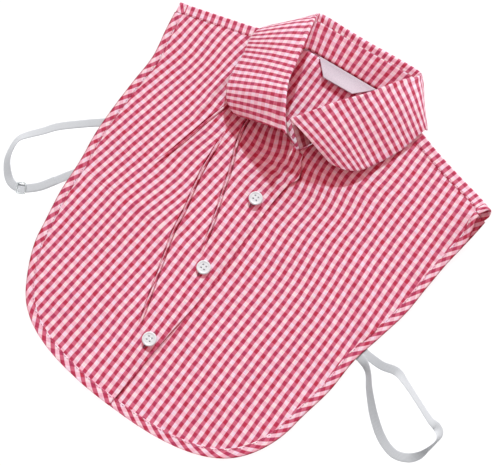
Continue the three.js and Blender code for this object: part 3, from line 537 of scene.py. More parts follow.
def gingham_material(name, relief):
    """Checked shirting: the weave group feeds colour, roughness and a fine bump."""
    material, n, shader = finish(name, Sheen_Weight=0.15, Sheen_Roughness=0.5, Specular_IOR_Level=0.25)
    cloth = n.add("ShaderNodeAttribute", attribute_name="cloth").outputs["Vector"]
    checked = n.add("ShaderNodeGroup", node_tree=weave)
    n.put(checked.inputs["Cloth"], cloth)
    n.put(shader.inputs["Base Color"], checked.outputs["Color"])
    n.put(shader.inputs["Roughness"], checked.outputs["Roughness"])
    n.emboss(shader, checked.outputs["Height"], 0.35, relief)
    return material


gingham = gingham_material("gingham shirting", 0.00006)
print("material:", gingham.name)

# %% [markdown]
# Elastic, sewing thread, buttons, the clear slider and the blank label need finishes of their own. Woven
# elastic has fine lengthwise ribs with a cross grain; the button is smooth pearly plastic; the label is
# satin tape.

# %% Other finishes
RIB_PERIOD, GRAIN_PERIOD = 0.9, 0.7


def elastic_material():
    """White elastic: ribs along the band from a sine across it, a cross grain, slightly bluish; painted
    shade in low places.
    """
    material, n, shader = finish("white elastic", Specular_IOR_Level=0.3, Sheen_Weight=0.1)
    cloth = n.add("ShaderNodeAttribute", attribute_name="cloth").outputs["Vector"]
    apart = n.add("ShaderNodeSeparateXYZ", {"Vector": cloth})
    ribs = n.math("SINE", n.math("MULTIPLY", apart.outputs["Y"], 2 * np.pi / RIB_PERIOD))
    grain = n.math("SINE", n.math("MULTIPLY", apart.outputs["X"], 2 * np.pi / GRAIN_PERIOD))
    spots = n.noise(cloth, 1.3, 3.0)
    woven = n.math("ADD", ribs, n.math("MULTIPLY", grain, 0.6))
    height = n.math("ADD", woven, n.math("MULTIPLY", spots, 0.8))
    # Painted shade: the colour darkens towards the relief's low places, the rib valleys; the spots add
    # random tone.
    shade = n.ramp(height, -1.2, 1.8)
    n.put(shader.inputs["Base Color"], n.mix(shade, colour(196, 198, 203), colour(232, 233, 236)))
    n.put(shader.inputs["Roughness"], n.ramp(height, -1.0, 2.0, 0.9, 0.75))
    n.emboss(shader, height, 0.5, 0.00012)
    return material


def speckled_material(name, low, high, scale, roughness, depth, **sockets):
    """A plain finish whose colour, gloss and surface vary a little with noise on Object coordinates."""
    material, n, shader = finish(name, roughness, **sockets)
    place = n.add("ShaderNodeTexCoord").outputs["Object"]
    spots = n.noise(place, scale, 3.0)
    n.put(shader.inputs["Base Color"], n.mix(n.ramp(spots, 0.3, 0.7), colour(*low), colour(*high)))
    n.put(shader.inputs["Roughness"], n.ramp(spots, 0.3, 0.7, roughness - 0.05, roughness + 0.05))
    n.emboss(shader, spots, 0.4, depth)
    return material


elastic = elastic_material()
pearl = speckled_material("pearly plastic", (238, 236, 239), (250, 248, 250), 400.0, 0.34, 0.00002,
                          Coat_Weight=0.3)
clear = speckled_material("clear plastic", (232, 238, 240), (246, 248, 248), 300.0, 0.14, 0.00002,
                          Transmission_Weight=0.55)
satin = speckled_material("satin tape", (197, 184, 197), (216, 203, 213), 1500.0, 0.55, 0.00005,
                          Sheen_Weight=0.2)
thread = speckled_material("white sewing thread", (214, 206, 214), (240, 234, 240), 3000.0, 0.8, 0.00005)
# This thread is darker than the thread's own colour, to stand for the shadows between the seams' puckers:
# thread and painted shade.
pink_thread_and_shade = speckled_material("pink sewing thread with painted shade", (150, 74, 100), (206, 128, 148), 3000.0, 0.8, 0.00005)
grey_thread = speckled_material("grey button thread", (150, 148, 158), (186, 184, 194), 3000.0, 0.8, 0.00005)
print("finishes:", [item.name for item in (elastic, pearl, clear, satin, thread, pink_thread_and_shade, grey_thread)])

# %% [markdown]
# The wearer's right front shows three sharp folds, a, b and c, that run down from under the collar, and a
# soft one beside the collar's wing. A fold could come from a cloth simulation, but here it has to lie where
# the photograph has it. So a column of the grid follows each sharp fold exactly, with more columns close
# beside it, and the height is a narrow ridge with a shallow groove on each side. A fold's table gives its
# places from collar to hem, and is turned round, because it is read with rising heights. A span says where
# a fold begins and ends: its top, the length over which it grows below that, its foot and the length over
# which it grows above that. At folds b and c the checks turn a little about a pivot, because the cloth
# beyond them lies askew.

# %% Folds of the right front
FOLD_A = np.array([
    [-62, 20], [-66.5, -5], [-71, -21], [-74, -39], [-78, -57], [-82, -71], [-88, -88], [-90, -120],
    [-82, -180], [-60, -246]], float)[::-1]
FOLD_B = np.array([
    [-58, 12], [-57, -4], [-53, -25], [-51, -43], [-49, -58], [-45, -75], [-40, -92], [-38, -107],
    [-35, -118], [-15, -178], [-12, -187], [-6, -215], [-3, -246]], float)[::-1]
FOLD_C = np.array([
    [-44, 12], [-44, -6], [-40, -23], [-31, -43], [-26, -59], [-20, -75], [-15, -89], [-11, -104],
    [-8, -114], [-2, -140], [3, -180], [6, -246]], float)[::-1]
SOFT_Y, SOFT_X = [-24, -8, 4, 15, 29, 44], [-83, -80.5, -83, -81.5, -78, -78]
SOFT_HIGH, SOFT_WIDE, SOFT_SHADE = 1.6, 2.6, 0.15
SPAN_A, SPAN_C, SPAN_SOFT = (5, 10, -84, 34), (6, 12, -120, 26), (40, 16, -30, 20)
SHARE_A = 0.8
NARROW = 12.0
FOLD_OFFSETS = np.array([0, 0.25, 0.5, 0.75, 0.95, 1.1, 1.3, 1.5, 1.7, 1.9, 2.2, 2.8, 4.2])
FOLD_HEIGHTS = np.array([1.5, 1.45, 1.3, 1.0, 0.2, -1.2, -1.7, -1.7, -0.9, -0.1, 0.2, 0.15, 0.0])
# Painted shade in the slots beside a fold's crest, by distance from the fold.
FOLD_PAINTED_SHADES = np.array([0, 0, 0, 0.0, 0.15, 0.4, 0.5, 0.4, 0.2, 0.05, 0, 0, 0])
TURN_B, TURN_C = np.radians(4.0), np.radians(5.5)
PIVOT_B, PIVOT_C = -187.0, -114.0
TURN_FADE = 70.0


def fold_x(line, y):
    """Where a fold lies at a height: straight pieces of its line, rounded by averaging over 6 mm."""
    return np.mean([np.interp(y + shift, line[:, 1], line[:, 0]) for shift in (-6, -3, 0, 3, 6)], 0)


def ridge(distance):
    """The section of a pinched fold: a narrow crest between two slots, on a wide low swell."""
    return np.interp(abs(distance), FOLD_OFFSETS, FOLD_HEIGHTS) + 0.6 * bump(distance, 7.0)


def fade(y, top, top_soft, foot, foot_soft):
    """How strongly a fold is there: 0 beyond its top and its foot, eased to 1 over a length inside each."""
    return ease((top - y) / top_soft) * ease((y - foot) / foot_soft)


def columns_between(left, right, count):
    """Columns from one line to the next: close together near both, evenly spaced between."""
    width = (right - left)[:, None]
    offsets = FOLD_OFFSETS[None, :] * np.minimum(1, width / NARROW)
    share = np.linspace(0, 1, count)[None, 1:-1]
    middle = left[:, None] + offsets[:, -1:] + (width - 2 * offsets[:, -1:]) * share
    return np.concatenate([left[:, None] + offsets, middle, right[:, None] - offsets[:, :0:-1]], 1)


# %% [markdown]
# A front is one sheet whose rows run across, from the side edge to the placket or the neckline. Its edge
# goes on under the binding. The rows are spaced evenly along that outer edge, so that the round corner
# stays round.

# %% Rows of a front
EDGE_UNDER = 5.6
BAND_WIDE, BAND_END, LIP_WIDE = 10.0, 0.96, 8.0
neck_share = np.linspace(0, 0.32, 65)


def neck_edge(side):
    """The front's edge along the neckline, just outside the stand."""
    at = neck_share if side < 0 else 1 - neck_share
    return neck_plan(at) + outwards(neck_plan, at) * (STAND_THICK / 2 + GAP)


def outer_path(side, inset, seam, reach, count):
    """Points evenly spaced up the side to the seam and on along it to a share of the shoulder."""
    end = seam_place(side, np.array(inset), seam)
    up = rim_point(side, np.linspace(0, 1, 1200) ** 1.2 * end, inset)
    neck_end = shoulder_point(side, 1.0, seam)
    seam_run = up[-1] + np.linspace(0, reach, 200)[1:, None] * (neck_end - up[-1])
    path = np.concatenate([up, seam_run])
    length = run_along(path)
    even = np.linspace(0, length[-1], count)
    corner = length[len(up) - 1]
    even[np.argmin(abs(even - corner))] = corner
    return np.stack([np.interp(even, length, path[:, axis]) for axis in (0, 1)], -1)


PLACKET_PLACES = [-246, -180, -129, -80, -54, -38, -28, -20, -13, -8, 0]
PLACKET_OUTS = [5.5, 9.5, 14.0, 13.0, 12.5, 13.5, 15.0, 18.5, 16.0, 12.5, 10.0]


def placket_edge(y):
    """Where the upper front ends: it wanders a little, and its top corner stands out."""
    return follow(PLACKET_PLACES, PLACKET_OUTS, y)


def front_rows(side, count=230):
    """Both ends of each row of a front: the outer edge and, at its height, the placket or the neckline."""
    outer = outer_path(side, EDGE_UNDER, BAND_WIDE - 1.0, BAND_END, count)
    edge = neck_edge(side)
    front_edge = placket_edge(outer[:, 1]) if side < 0 else -UNDERLAP
    inner = np.where(outer[:, 1] < edge[0, 1], front_edge, np.interp(outer[:, 1], edge[:, 1], edge[:, 0]))
    return outer, inner


# %% [markdown]
# The height of a front is that of its layer, plus the folds, plus what the eye sees as softness: slight
# waves of the cloth and an edge that comes to rest on what lies below it. All of these are sums of smooth
# hills and waves. The lap of the placket stands off at a few gaps, each given by its share, its middle and
# its length. The folds are kept apart from each other and from the placket, so that no column crosses its
# neighbour. The deep sides of the folds and the cloth under the collar's edge get painted shade, which
# darkens their colour.

# %% Right front
SHEET, COLLAR_SHADE = 0.8, 0.5
COLUMNS = [46, 16, 18, 30]
PLACKET_GAPS = [(1.0, -38, 26), (0.8, -168, 18), (0.6, -240, 24)]
TIP_TUCK, TIP_LIFT, TIP_ROUND, TIP_BELOW = 8.0, 2.0, 15.0, 11.0


def soft_waves(x, y):
    """Gentle unevenness of laid cloth: three crossing waves of a few tenths of a millimetre."""
    long = 0.22 * np.sin(x / 17 + y / 29) + 0.18 * np.sin(x / 31 - y / 13 + 1.0)
    return long + 0.1 * np.sin(x / 9 + y / 11 + 2.0)


def swirl(cloth, x, y, middle, degrees, width):
    """Turns the checks about a point, by an angle that fades with distance, as at a drawn-in seam."""
    dx, dy = x - middle[0], y - middle[1]
    angle = np.radians(degrees) * bump(np.hypot(dx, dy), width)
    cloth[..., 0] += (np.cos(angle) - 1) * dx + np.sin(angle) * dy
    cloth[..., 1] += (np.cos(angle) - 1) * dy - np.sin(angle) * dx


def open_tip(grid, weight=1.0):
    """Draws the front in below the open left shoulder tip and lifts it, so that the back shows beyond."""
    near = weight * bump(np.hypot(grid[..., 0] - tip_x(1), grid[..., 1] - TIP_HIGH + TIP_BELOW), TIP_ROUND)
    return grid + near[..., None] * np.array([-TIP_TUCK, -0.2 * TIP_TUCK, TIP_LIFT])


def placket_drop(y):
    """How far the placket's edge comes down on the lower front: all the way, but less at three gaps."""
    gaps = np.max([share * bump(y - middle, length) for share, middle, length in PLACKET_GAPS], 0)
    return (LAP_STEP - SHEET + 0.25) * (1 - gaps)


outer, inner = front_rows(-1)
rows_y = outer[:, 1]
fold_b, fold_c = fold_x(FOLD_B, rows_y), fold_x(FOLD_C, rows_y)
fold_c = np.minimum(fold_c, inner - 2.5)
fold_b = np.minimum(np.maximum(fold_b, outer[:, 0] + 0.3 * (fold_c - outer[:, 0])), fold_c - 1)
share_a = np.clip((fold_x(FOLD_A, rows_y) - outer[:, 0]) / (fold_b - outer[:, 0]), 0.3, 0.93)
fold_a = outer[:, 0] + share_a * (fold_b - outer[:, 0])
lines = [outer[:, 0], fold_a, fold_b, fold_c, inner]
parts = [columns_between(*item) for item in zip(lines[:-1], lines[1:], COLUMNS)]
right_x = np.concatenate([part[:, :-1] for part in parts[:-1]] + [parts[-1]], 1)
right_y = np.repeat(rows_y[:, None], right_x.shape[1], 1)
column_b = parts[0].shape[1] + parts[1].shape[1] - 2
column_c = column_b + parts[2].shape[1] - 1
fade_a, fade_c, fade_soft = (fade(right_y, *span) for span in (SPAN_A, SPAN_C, SPAN_SOFT))
fade_b = (0.1 * ease((8 - right_y) / 12) + 0.9 * ease((-24 - right_y) / 16)) * ease((right_y + 196) / 26)
right_z = front_level(-1, right_x, right_y) + SHEET
right_z += soft_waves(right_x, right_y) * ease((right_x - outer[:, :1]) / 12)
from_a, from_b, from_c = (right_x - line[:, None] for line in (fold_a, fold_b, fold_c))
right_z += SHARE_A * ridge(from_a) * fade_a + ridge(from_b) * fade_b + ridge(from_c) * fade_c
from_soft = right_x - np.interp(right_y, SOFT_Y, SOFT_X)
right_z += SOFT_HIGH * bump(from_soft, SOFT_WIDE) * fade_soft
right_z -= placket_drop(right_y) * ease((right_x - inner[:, None] + 7) / 7) * (right_y < -2)
right_grid = np.stack([right_x, right_y, right_z], -1)

right_cloth = right_grid[..., :2] - [1.1, 0]
column_index = np.arange(right_x.shape[1])[None, :]
below_b = ease((fold_b[:, None] - right_x) / TURN_FADE)
for angle, pivot, column, line, below in (
    (TURN_B, PIVOT_B, column_b, fold_b, below_b), (TURN_C, PIVOT_C, column_c, fold_c, 0),
):
    beyond = (column_index < column) * np.where(right_y > pivot, 1, below)
    right_cloth[..., 0] -= angle * (right_y - pivot) * beyond
    right_cloth[..., 1] += angle * (right_x - line[:, None]) * beyond
for middle, degrees, width, columns in (
    ((-8, -2), 27, 24, column_index >= column_c), ((-68, -8), 11, 40, column_index <= column_b),
    ((-62, -62), 9, 28, column_index <= column_b), ((-110, 34), 12, 34, 1),
):
    swirl(right_cloth, right_x, right_y, middle, degrees * columns, width)
puckers = bump(np.hypot(right_x - 4, right_y + 22), 11)
right_cloth[..., 0] += 0.7 * np.sin(right_y / 1.7 + right_x / 4) * puckers
# Painted shade: darker in the slots of the folds, beside the soft fold and at the neckline's edge.
shades = [np.interp(abs(from_fold), FOLD_OFFSETS, FOLD_PAINTED_SHADES) * strength
          for from_fold, strength in ((from_a, SHARE_A * fade_a), (from_b, fade_b), (from_c, fade_c))]
shades.append(SOFT_SHADE * bump(from_soft - 2.4, 1.2) * fade_soft)
shades.append(COLLAR_SHADE * bump(right_x - inner[:, None], 1.2) * (right_y > -4))
right_cloth = np.concatenate([right_cloth, np.max(shades, 0)[..., None]], -1)
front_right = sheet_piece("front_right_cloth", right_grid, gingham, right_cloth, SHEET)
print("right front:", right_grid.shape[:2], "points")

# %% [markdown]
# The left front lies under the placket. It is nearly flat, with one soft drag line near the side. Beside
# the placket's edge and along the neckline painted shade darkens it, deepest where the placket stands off.
# A swirl is given by its middle, its degrees and its width, and a painted shade by its depth, its middle
# and its length.

# %% Left front
DRAG_FROM, DRAG_TO = np.array([101.8, -50.9]), np.array([138.5, -93.7])
DRAG_HIGH, DRAG_WIDE = 1.8, 6.0
LEFT_SWIRLS = [((28, -14), 14, 26), ((62, -62), 5, 55), ((64, -6), 8, 24)]
GAP_SHADE = 0.2
GAP_SHADES = [(0.55, -17, 9), (0.3, -42, 12), (0.35, -190, 28), (0.5, -238, 16)]

outer, inner = front_rows(1)
share = np.linspace(0, 1, 110)[None, :]
left_x = outer[:, :1] + (inner - outer[:, 0])[:, None] * share
left_y = np.repeat(outer[:, 1:], share.size, 1)
drag_way = unit(DRAG_TO - DRAG_FROM)
drag_along = (left_x - DRAG_FROM[0]) * drag_way[0] + (left_y - DRAG_FROM[1]) * drag_way[1]
drag_off = (left_x - DRAG_FROM[0]) * drag_way[1] - (left_y - DRAG_FROM[1]) * drag_way[0]
left_z = front_level(1, left_x, left_y) + SHEET + soft_waves(left_y - 40, left_x) * ease(share * 12)
left_z += DRAG_HIGH * bump(drag_off, DRAG_WIDE) * ease((drag_along + 22) / 30) * ease((64 - drag_along) / 26)
left_grid = open_tip(np.stack([left_x, left_y, left_z], -1))
left_cloth = left_grid[..., :2] + [-0.6, 1.3]
for middle, degrees, width in LEFT_SWIRLS:
    swirl(left_cloth, left_x, left_y, middle, degrees, width)
beside = left_x - placket_edge(left_y)
# Painted shade beside the placket's edge, deepest at its gaps, and along the neckline.
gap_shade = GAP_SHADE + sum(depth * bump(left_y - middle, length) for depth, middle, length in GAP_SHADES)
left_shade = gap_shade * bump(np.maximum(beside - 0.6, 0), 1.3) * (left_y < -2)
left_shade = np.maximum(left_shade, COLLAR_SHADE * bump(left_x - inner[:, None], 1.8) * (left_y > -4))
left_cloth = np.concatenate([left_cloth, left_shade[..., None]], -1)
front_left = sheet_piece("front_left_cloth", left_grid, gingham, left_cloth, SHEET, side=1.0)
print("left front:", left_grid.shape[:2], "points")

# %% [markdown]
# The back lies face down under everything. It is one flat sheet from hem to shoulders, so its rows run
# right across.

# %% Back
sides = [outer_path(side, EDGE_UNDER, LIP_WIDE - 1.0, 1.0, 150) for side in (-1, 1)]
top = neck_plan(NECK_BACK) - [0, STAND_THICK / 2 + GAP]
rows_from = np.concatenate([sides[0], top[:1]])
rows_to = np.concatenate([sides[1], top[1:]])
share = np.linspace(0, 1, 150)[None, :, None]
back_plan = rows_from[:, None] * (1 - share) + rows_to[:, None] * share
back_z = back_level(back_plan[..., 0], back_plan[..., 1]) + SHEET
back_grid = at_height(back_plan, back_z)
back = sheet_piece("back_cloth", back_grid, gingham, back_plan + [0.8, 2.0], SHEET)
print("back:", back_grid.shape[:2], "points")

# %% [markdown]
# The hem and the sides are bound with a folded strip of the same cloth, cut on the bias, so its checks
# stand diagonally. The strip was drawn long and narrow when it was sewn, which leans them nearer to the
# edge than the diagonal. A binding is a rounded flat section carried along the outline, and its end is cut
# along the shoulder seam. At the sides its outer rim turns down into the dark, so painted shade darkens it
# there.

# %% Bindings
BIAS_RUN, BIAS_WIDE, RIM_SHADE = 0.78, {1: 1.4, -1: 1.15}, 0.8
STRAND_STOP = 0.012


def bias_cloth(run, inset, height, x=0.0, lean=1):
    """Checks at a slant: run and width, each times its stretch, turned by 45 degrees; painted shade on side
    rims.
    """
    wide = BIAS_WIDE[lean] * np.where(height > 0.5, inset, -inset) * lean
    run = BIAS_RUN * run
    # Painted shade along the outer rim, at the bib's sides only.
    shade = RIM_SHADE * bump(inset, 0.9) * ease((abs(x) - 60) / 60)
    return np.stack([(run + wide) / np.sqrt(2), (run - wide) / np.sqrt(2), shade + 0 * run], -1)


def binding_section(count=9):
    """Inset and height of a folded strip: a long flat loop with a round outer edge and a thin inner one."""
    turn = np.radians(np.linspace(-90, 90, count))
    outer_in = 0.9 * (1 - np.cos(turn))
    outer_up = 0.5 + 0.5 * np.sin(turn)
    flat = np.array([1.6, 2.6, 3.8, 5.0, 5.9, 6.5, BINDING_WIDE])
    puff = np.array([1.04, 1.08, 1.08, 1.03, 0.90, 0.92, 0.80])
    inset = np.concatenate([outer_in, flat, flat[::-1]])
    height = np.concatenate([outer_up, puff, 0 * flat])
    return inset, height


def strands(side, q, end, inset):
    """Plan of a binding: every strand passes the same places, and then ends at its own place on the seam."""
    places = np.concatenate([np.repeat(q[:, None], len(inset), 1), end[None, :]])
    return rim_point(side, places, np.broadcast_to(inset, places.shape))


def binding(name, side, start, phase, lean=1, count=400):
    """The section along the outline from a start to the shoulder seam, with small puckers on top."""
    inset, height = binding_section()
    end = seam_place(side, inset, BAND_WIDE + GAP)
    base = np.linspace(start, end.min() - STRAND_STOP, 2000)
    length = run_along(rim_point(side, base, 0.0))
    plan = strands(side, np.interp(np.linspace(0, length[-1], count), length, base), end, inset)
    run = np.concatenate([np.linspace(0, length[-1], count), [length[-1] + 4]])[:, None]
    puckers = 0.06 * np.sin(run * 2 * np.pi / 4.6 + phase) * (inset > 2) * (height > 0.5)
    z = front_level(side, plan[..., 0], plan[..., 1]) + (height + puckers) * BINDING_THICK
    cloth = bias_cloth(run + phase, inset, height, plan[..., 0], lean)
    grid = at_height(plan, z)
    return swept_piece(name, open_tip(grid) if side > 0 else grid, gingham, cloth)


def back_binding_piece():
    """The back's binding goes all the way round, from one shoulder to the other."""
    inset, height = binding_section()
    halves = []
    for side in (-1, 1):
        end = seam_place(side, inset, LIP_WIDE + GAP)
        q = np.linspace(0, 1, 200) ** 1.1 * (end.min() - STRAND_STOP)
        halves.append(strands(side, q, end, inset))
    plan = np.concatenate([halves[0][::-1], halves[1][1:]])
    z = back_level(plan[..., 0], plan[..., 1]) + height * BINDING_THICK
    cloth = bias_cloth(run_along(plan[:, 0])[:, None], inset, height, plan[..., 0])
    return swept_piece("back_binding_strip", at_height(plan, z), gingham, cloth)


def place_at(side, x):
    """The q of the hem at which the outline is x away from the middle."""
    q = np.linspace(0, 1, 4000)
    return float(np.interp(x, abs(outline_point(side, q)[:, 0]), q))


right_binding = binding("front_right_binding_strip", -1, -place_at(1, PLACKET_OUTS[0]), 0.0, lean=-1)
left_binding = binding("front_left_binding_strip", 1, -place_at(-1, UNDERLAP), 2.0)
back_binding = back_binding_piece()
print("bindings:", right_binding.name, left_binding.name, back_binding.name)

# %% [markdown]
# A band of the yoke's cloth comes from the back round each shoulder fold on to the front. Seen from the end
# it is a letter C, so the sheet's columns go along that C and its rows along the shoulder. The binding of
# the side goes on round the band's cut end, from the front over the fold to the back, as one more folded
# strip carried along the C.

# %% Shoulder bands
def shoulder_way(side):
    """The way along the shoulder fold from tip to neck, seen from above."""
    return shoulder_point(side, 1.0, 0.0) - shoulder_point(side, 0.0, 0.0)


def shoulder_length(side):
    """Length of the shoulder fold from tip to neck."""
    return np.linalg.norm(shoulder_way(side))


def shoulder_section(side, share):
    """A C-shaped section at each share of the shoulder: flat front, half a turn, flat lip behind."""
    share = share[:, None]
    turn = np.radians(np.linspace(90, -90, 19))[None, :]
    fold = shoulder_point(side, share, np.full_like(share, BAND_WIDE / 3))
    high = front_level(side, fold[..., 0], fold[..., 1]) + CLOTH
    low = back_level(fold[..., 0], fold[..., 1])
    depth = np.minimum((high - low) / 2, BAND_WIDE / 3)
    bend_in = depth * (1 - np.cos(turn))
    bend_z = (high + low) / 2 + (high - low) / 2 * np.sin(turn)
    front_in = np.linspace(BAND_WIDE, 0, 12)[None, :-1] * (1 - depth / BAND_WIDE) + depth
    lip_in = depth + (LIP_WIDE - depth) * np.linspace(0, 1, 8)[None, 1:]
    inset = np.concatenate([front_in, bend_in, lip_in], 1)
    plan = shoulder_point(side, np.broadcast_to(share, inset.shape), inset)
    on_front = front_level(side, plan[..., 0], plan[..., 1]) + CLOTH
    on_back = back_level(plan[..., 0], plan[..., 1])
    first, last = front_in.shape[1], front_in.shape[1] + bend_in.shape[1]
    z = np.concatenate([on_front[:, :first], bend_z, on_back[:, last:]], 1)
    grid = at_height(plan, z)
    return open_tip(grid, np.clip((z - low) / (high - low), 0, 1)) if side > 0 else grid


def shoulder_band(side, name):
    """The section carried from just inside the tip's binding to the neck."""
    length = shoulder_length(side)
    share = np.linspace((BINDING_WIDE - 1.4) / length, 1.03, 90)
    grid = shoulder_section(side, share)
    across = run_across(grid)
    cloth = np.stack([np.broadcast_to(share[:, None] * length, across.shape), across], -1)
    return sheet_piece(name, grid, gingham, cloth, CLOTH * 0.9, side=-1.0 if side > 0 else 1.0)


def tip_binding(side, name):
    """The binding's section set along the shoulder and carried round the C, a little proud of the band."""
    inset, height = binding_section()
    grid = shoulder_section(side, inset / shoulder_length(side))
    away = unit(np.cross(np.gradient(grid, axis=1), np.append(shoulder_way(side), 0))) * side
    inside = (height[:, None] - 1) * BINDING_THICK + 0.25 * np.clip(away[..., 2:].max(-1) + 0.6, 0, 1)
    grid = np.transpose(grid + away * inside[..., None], (1, 0, 2))
    grid[..., 2] = np.maximum(grid[..., 2], 0)
    return swept_piece(name, grid, gingham, bias_cloth(run_along(grid[:, 0])[:, None], inset, height))


band_right = shoulder_band(-1, "shoulder_band_right_cloth")
band_left = shoulder_band(1, "shoulder_band_left_cloth")
tip_right = tip_binding(-1, "shoulder_tip_right_strip")
tip_left = tip_binding(1, "shoulder_tip_left_strip")
print("bands:", band_right.name, band_left.name, "ends:", tip_right.name, tip_left.name)

# %% [markdown]
# The collar has two parts. The stand is an upright band sewn into the neckline. The leaf is sewn to the
# stand's inner face near its top, rolls over the fold and falls on the front. At the back it falls behind
# the bib and is tucked under it. Each section of the leaf is a straight stretch, a short round roll and a
# long curve to its edge.

# %% Collar sections
STAND_TALL, SEAM_DROP, LEAF_WIDE, LEAF_FLOAT = 29.0, 5.4, 50.0, 10.0
FOLD_ROUND, TIP_CUT, TIP_SPAN = 3.8, 9.0, 0.035
ROLL_FROM, ROLL_TO = 0.2, 0.4


def collar_points(at):
    """Base, top and leaf edge of each section, its share under the bib, and the stand's direction."""
    plan = neck_plan(at)
    under = np.clip(neck("under", at), 0, 1)
    right, left = (front_level(side, plan[..., 0], plan[..., 1]) for side in (-1, 1))
    on_front = np.where(at < 0.5, right, left) + CLOTH - 0.2
    on_back = back_level(plan[..., 0], plan[..., 1]) + STAND_THICK / 2 + 0.1
    base = at_height(plan, on_front + (on_back - on_front) * ease(under))
    up = np.stack([neck("lean_x", at), neck("lean_y", at), neck("up", at)], -1)
    top = base + up * STAND_TALL
    end = np.minimum(at, 1 - at) / TIP_SPAN
    cut = np.where(end < 1, TIP_CUT * (1 - np.sqrt(np.clip(1 - (1 - end) ** 2, 0, 1))), 0)
    run = LEAF_WIDE * neck("run", at) - cut
    heading = np.radians(neck("heading", at))
    x, y = top[..., 0] + run * np.cos(heading), top[..., 1] + run * np.sin(heading)
    front = np.where(x < 0, front_level(-1, x, y), front_level(1, x, y))
    z = (1 - under) * (front + CLOTH + GAP) + LEAF_THICK / 2 + np.maximum(neck("float", at), 0) * LEAF_FLOAT
    return base, top, np.stack([x, y, z], -1), under, unit(up)


def fold_plan(at):
    """The collar's fold seen from above."""
    return collar_points(at)[1][..., :2]


def leaf_surface(at, share):
    """Line from the seam to the roll, a quadratic curve over the fold, a cubic curve down to the edge."""
    _, top, edge, under, up = collar_points(at)
    under = under[..., None]
    seam_line = top - up * (SEAM_DROP + 0.4)
    roll_in = top - up * FOLD_ROUND
    plan = outwards(fold_plan, at)
    fall = edge - top
    below = np.concatenate([plan * 0.5, np.full((*plan.shape[:-1], 1), -0.85)], -1)
    leave = unit(unit(fall) * (1 - under) + below * under)
    roll_out = top + leave * FOLD_ROUND
    crest = 2 * top - (roll_in + roll_out) / 2
    reach = np.linalg.norm(fall, axis=-1, keepdims=True) / 3 * (1 - under) + 4 * under
    first = roll_out + leave * reach
    first[..., 2:] += (1 - under) * 0.06 * LEAF_WIDE
    second = edge - fall * np.array([1, 1, 0]) * (0.42 * (1 - under) + 0.6 * under)
    second[..., 2:] += (1 - under) * 0.5 * (top - edge)[..., 2:]
    which = share[None, :, None]
    a = np.clip(which / ROLL_FROM, 0, 1)
    b = np.clip((which - ROLL_FROM) / (ROLL_TO - ROLL_FROM), 0, 1)
    c = np.clip((which - ROLL_TO) / (1 - ROLL_TO), 0, 1)
    points = [item[:, None] for item in (seam_line, roll_in, crest, roll_out, first, second, edge)]
    seam_line, roll_in, crest, roll_out, first, second, edge = points
    line = seam_line * (1 - a) + roll_in * a
    roll = roll_in * (1 - b) ** 2 + crest * 2 * b * (1 - b) + roll_out * b**2
    down = roll_out * (1 - c) ** 3 + first * 3 * c * (1 - c) ** 2
    down = down + second * 3 * c**2 * (1 - c) + edge * c**3
    return np.where(which < ROLL_FROM, line, np.where(which < ROLL_TO, roll, down))


def flat_cloth(grid, zero_column, middle_column):
    """Flat positions of a sheet: along, the length of a middle line; across, that from a given column."""
    along, across = run_along(grid[:, middle_column]), run_across(grid)
    across -= across[:, zero_column:zero_column + 1]
    return np.stack([np.broadcast_to(along[:, None], across.shape), across], -1)


# %% [markdown]
# The stand is a plain strip between its base and the seam. The leaf's sections are set closer together at
# its two ends, where its corners are cut round. Little light gets between the stand's ends or to its base
# seam, so painted shade darkens the cloth there. The leaf is cut straight while its fold is curved, so its
# checks lean against its sections, by a slope that a table gives from the right end to the left.

# %% Stand and leaf
GRAIN_AT = [0, 0.25, 0.4, 0.5, 0.62, 0.72, 1]
GRAIN_SLOPE = [-0.1, -0.12, -0.25, 0, 0.1, 0.287, 0.287]
stand_at = np.linspace(0, 1, 260)
base, top, _, _, up = collar_points(stand_at)
stand_top = top - up * SEAM_DROP
share = np.linspace(0, 1, 14)[None, :, None]
stand_grid = base[:, None] * (1 - share) + stand_top[:, None] * share  # ends inside the leaf's band
stand_share, stand_place = share[..., 0], stand_at[:, None]
# Painted shade: dark at both ends of the stand and along its base seam.
left_end_shade = 0.6 * ease((stand_place - 0.93) / 0.03)
right_end_shade = 0.75 * ease((0.06 - stand_place) / 0.02) * ease((stand_share - 0.3) / 0.2)
stand_shade = np.maximum(left_end_shade + right_end_shade, 0.45 * ease((0.1 - stand_share) / 0.06))
stand_cloth = np.concatenate([flat_cloth(stand_grid, 0, 0), (stand_shade + 0 * stand_share)[..., None]], -1)
stand = sheet_piece("collar_stand_cloth", stand_grid, gingham, stand_cloth, 1.2, side=0.0)

tip = TIP_SPAN * np.linspace(0, 1, 14)[:-1] ** 1.6
leaf_at = np.concatenate([tip, np.linspace(TIP_SPAN, 1 - TIP_SPAN, 300), 1 - tip[::-1]])
leaf_share = np.concatenate([np.linspace(0, ROLL_FROM, 5)[:-1], np.linspace(ROLL_FROM, ROLL_TO, 9)[:-1],
                             np.linspace(ROLL_TO, 1, 42)])
leaf_grid = leaf_surface(leaf_at, leaf_share)
leaf_cloth = flat_cloth(leaf_grid, 8, 24)
grain = np.interp(leaf_at, GRAIN_AT, GRAIN_SLOPE)
leaf_cloth[..., 1] -= np.cumsum(grain * np.gradient(leaf_cloth[:, 0, 0]))[:, None]
leaf = sheet_piece("collar_leaf_cloth", leaf_grid, gingham, leaf_cloth, 1.3, side=0.0)
print("collar:", stand_grid.shape[:2], leaf_grid.shape[:2])

# %% [markdown]
# The buttons are turned discs with a raised rim, a dished middle and four holes. As a polar grid the top is
# a height that depends on the distance from the middle, less a pit at each hole. Short bars of thread cross
# the pits.

# %% Buttons
BUTTON_SPACING, BUTTON_THICK, HOLE_HALF = 68.5, 2.4, 1.45


def rings(radii, heights, angle):
    """Level circles of points: radius times cosine and sine of the angle, each circle at its height."""
    across = [np.outer(radii, np.cos(angle)), np.outer(radii, np.sin(angle))]
    return np.stack([*across, np.repeat(np.asarray(heights, float)[:, None], len(angle), 1)], -1)


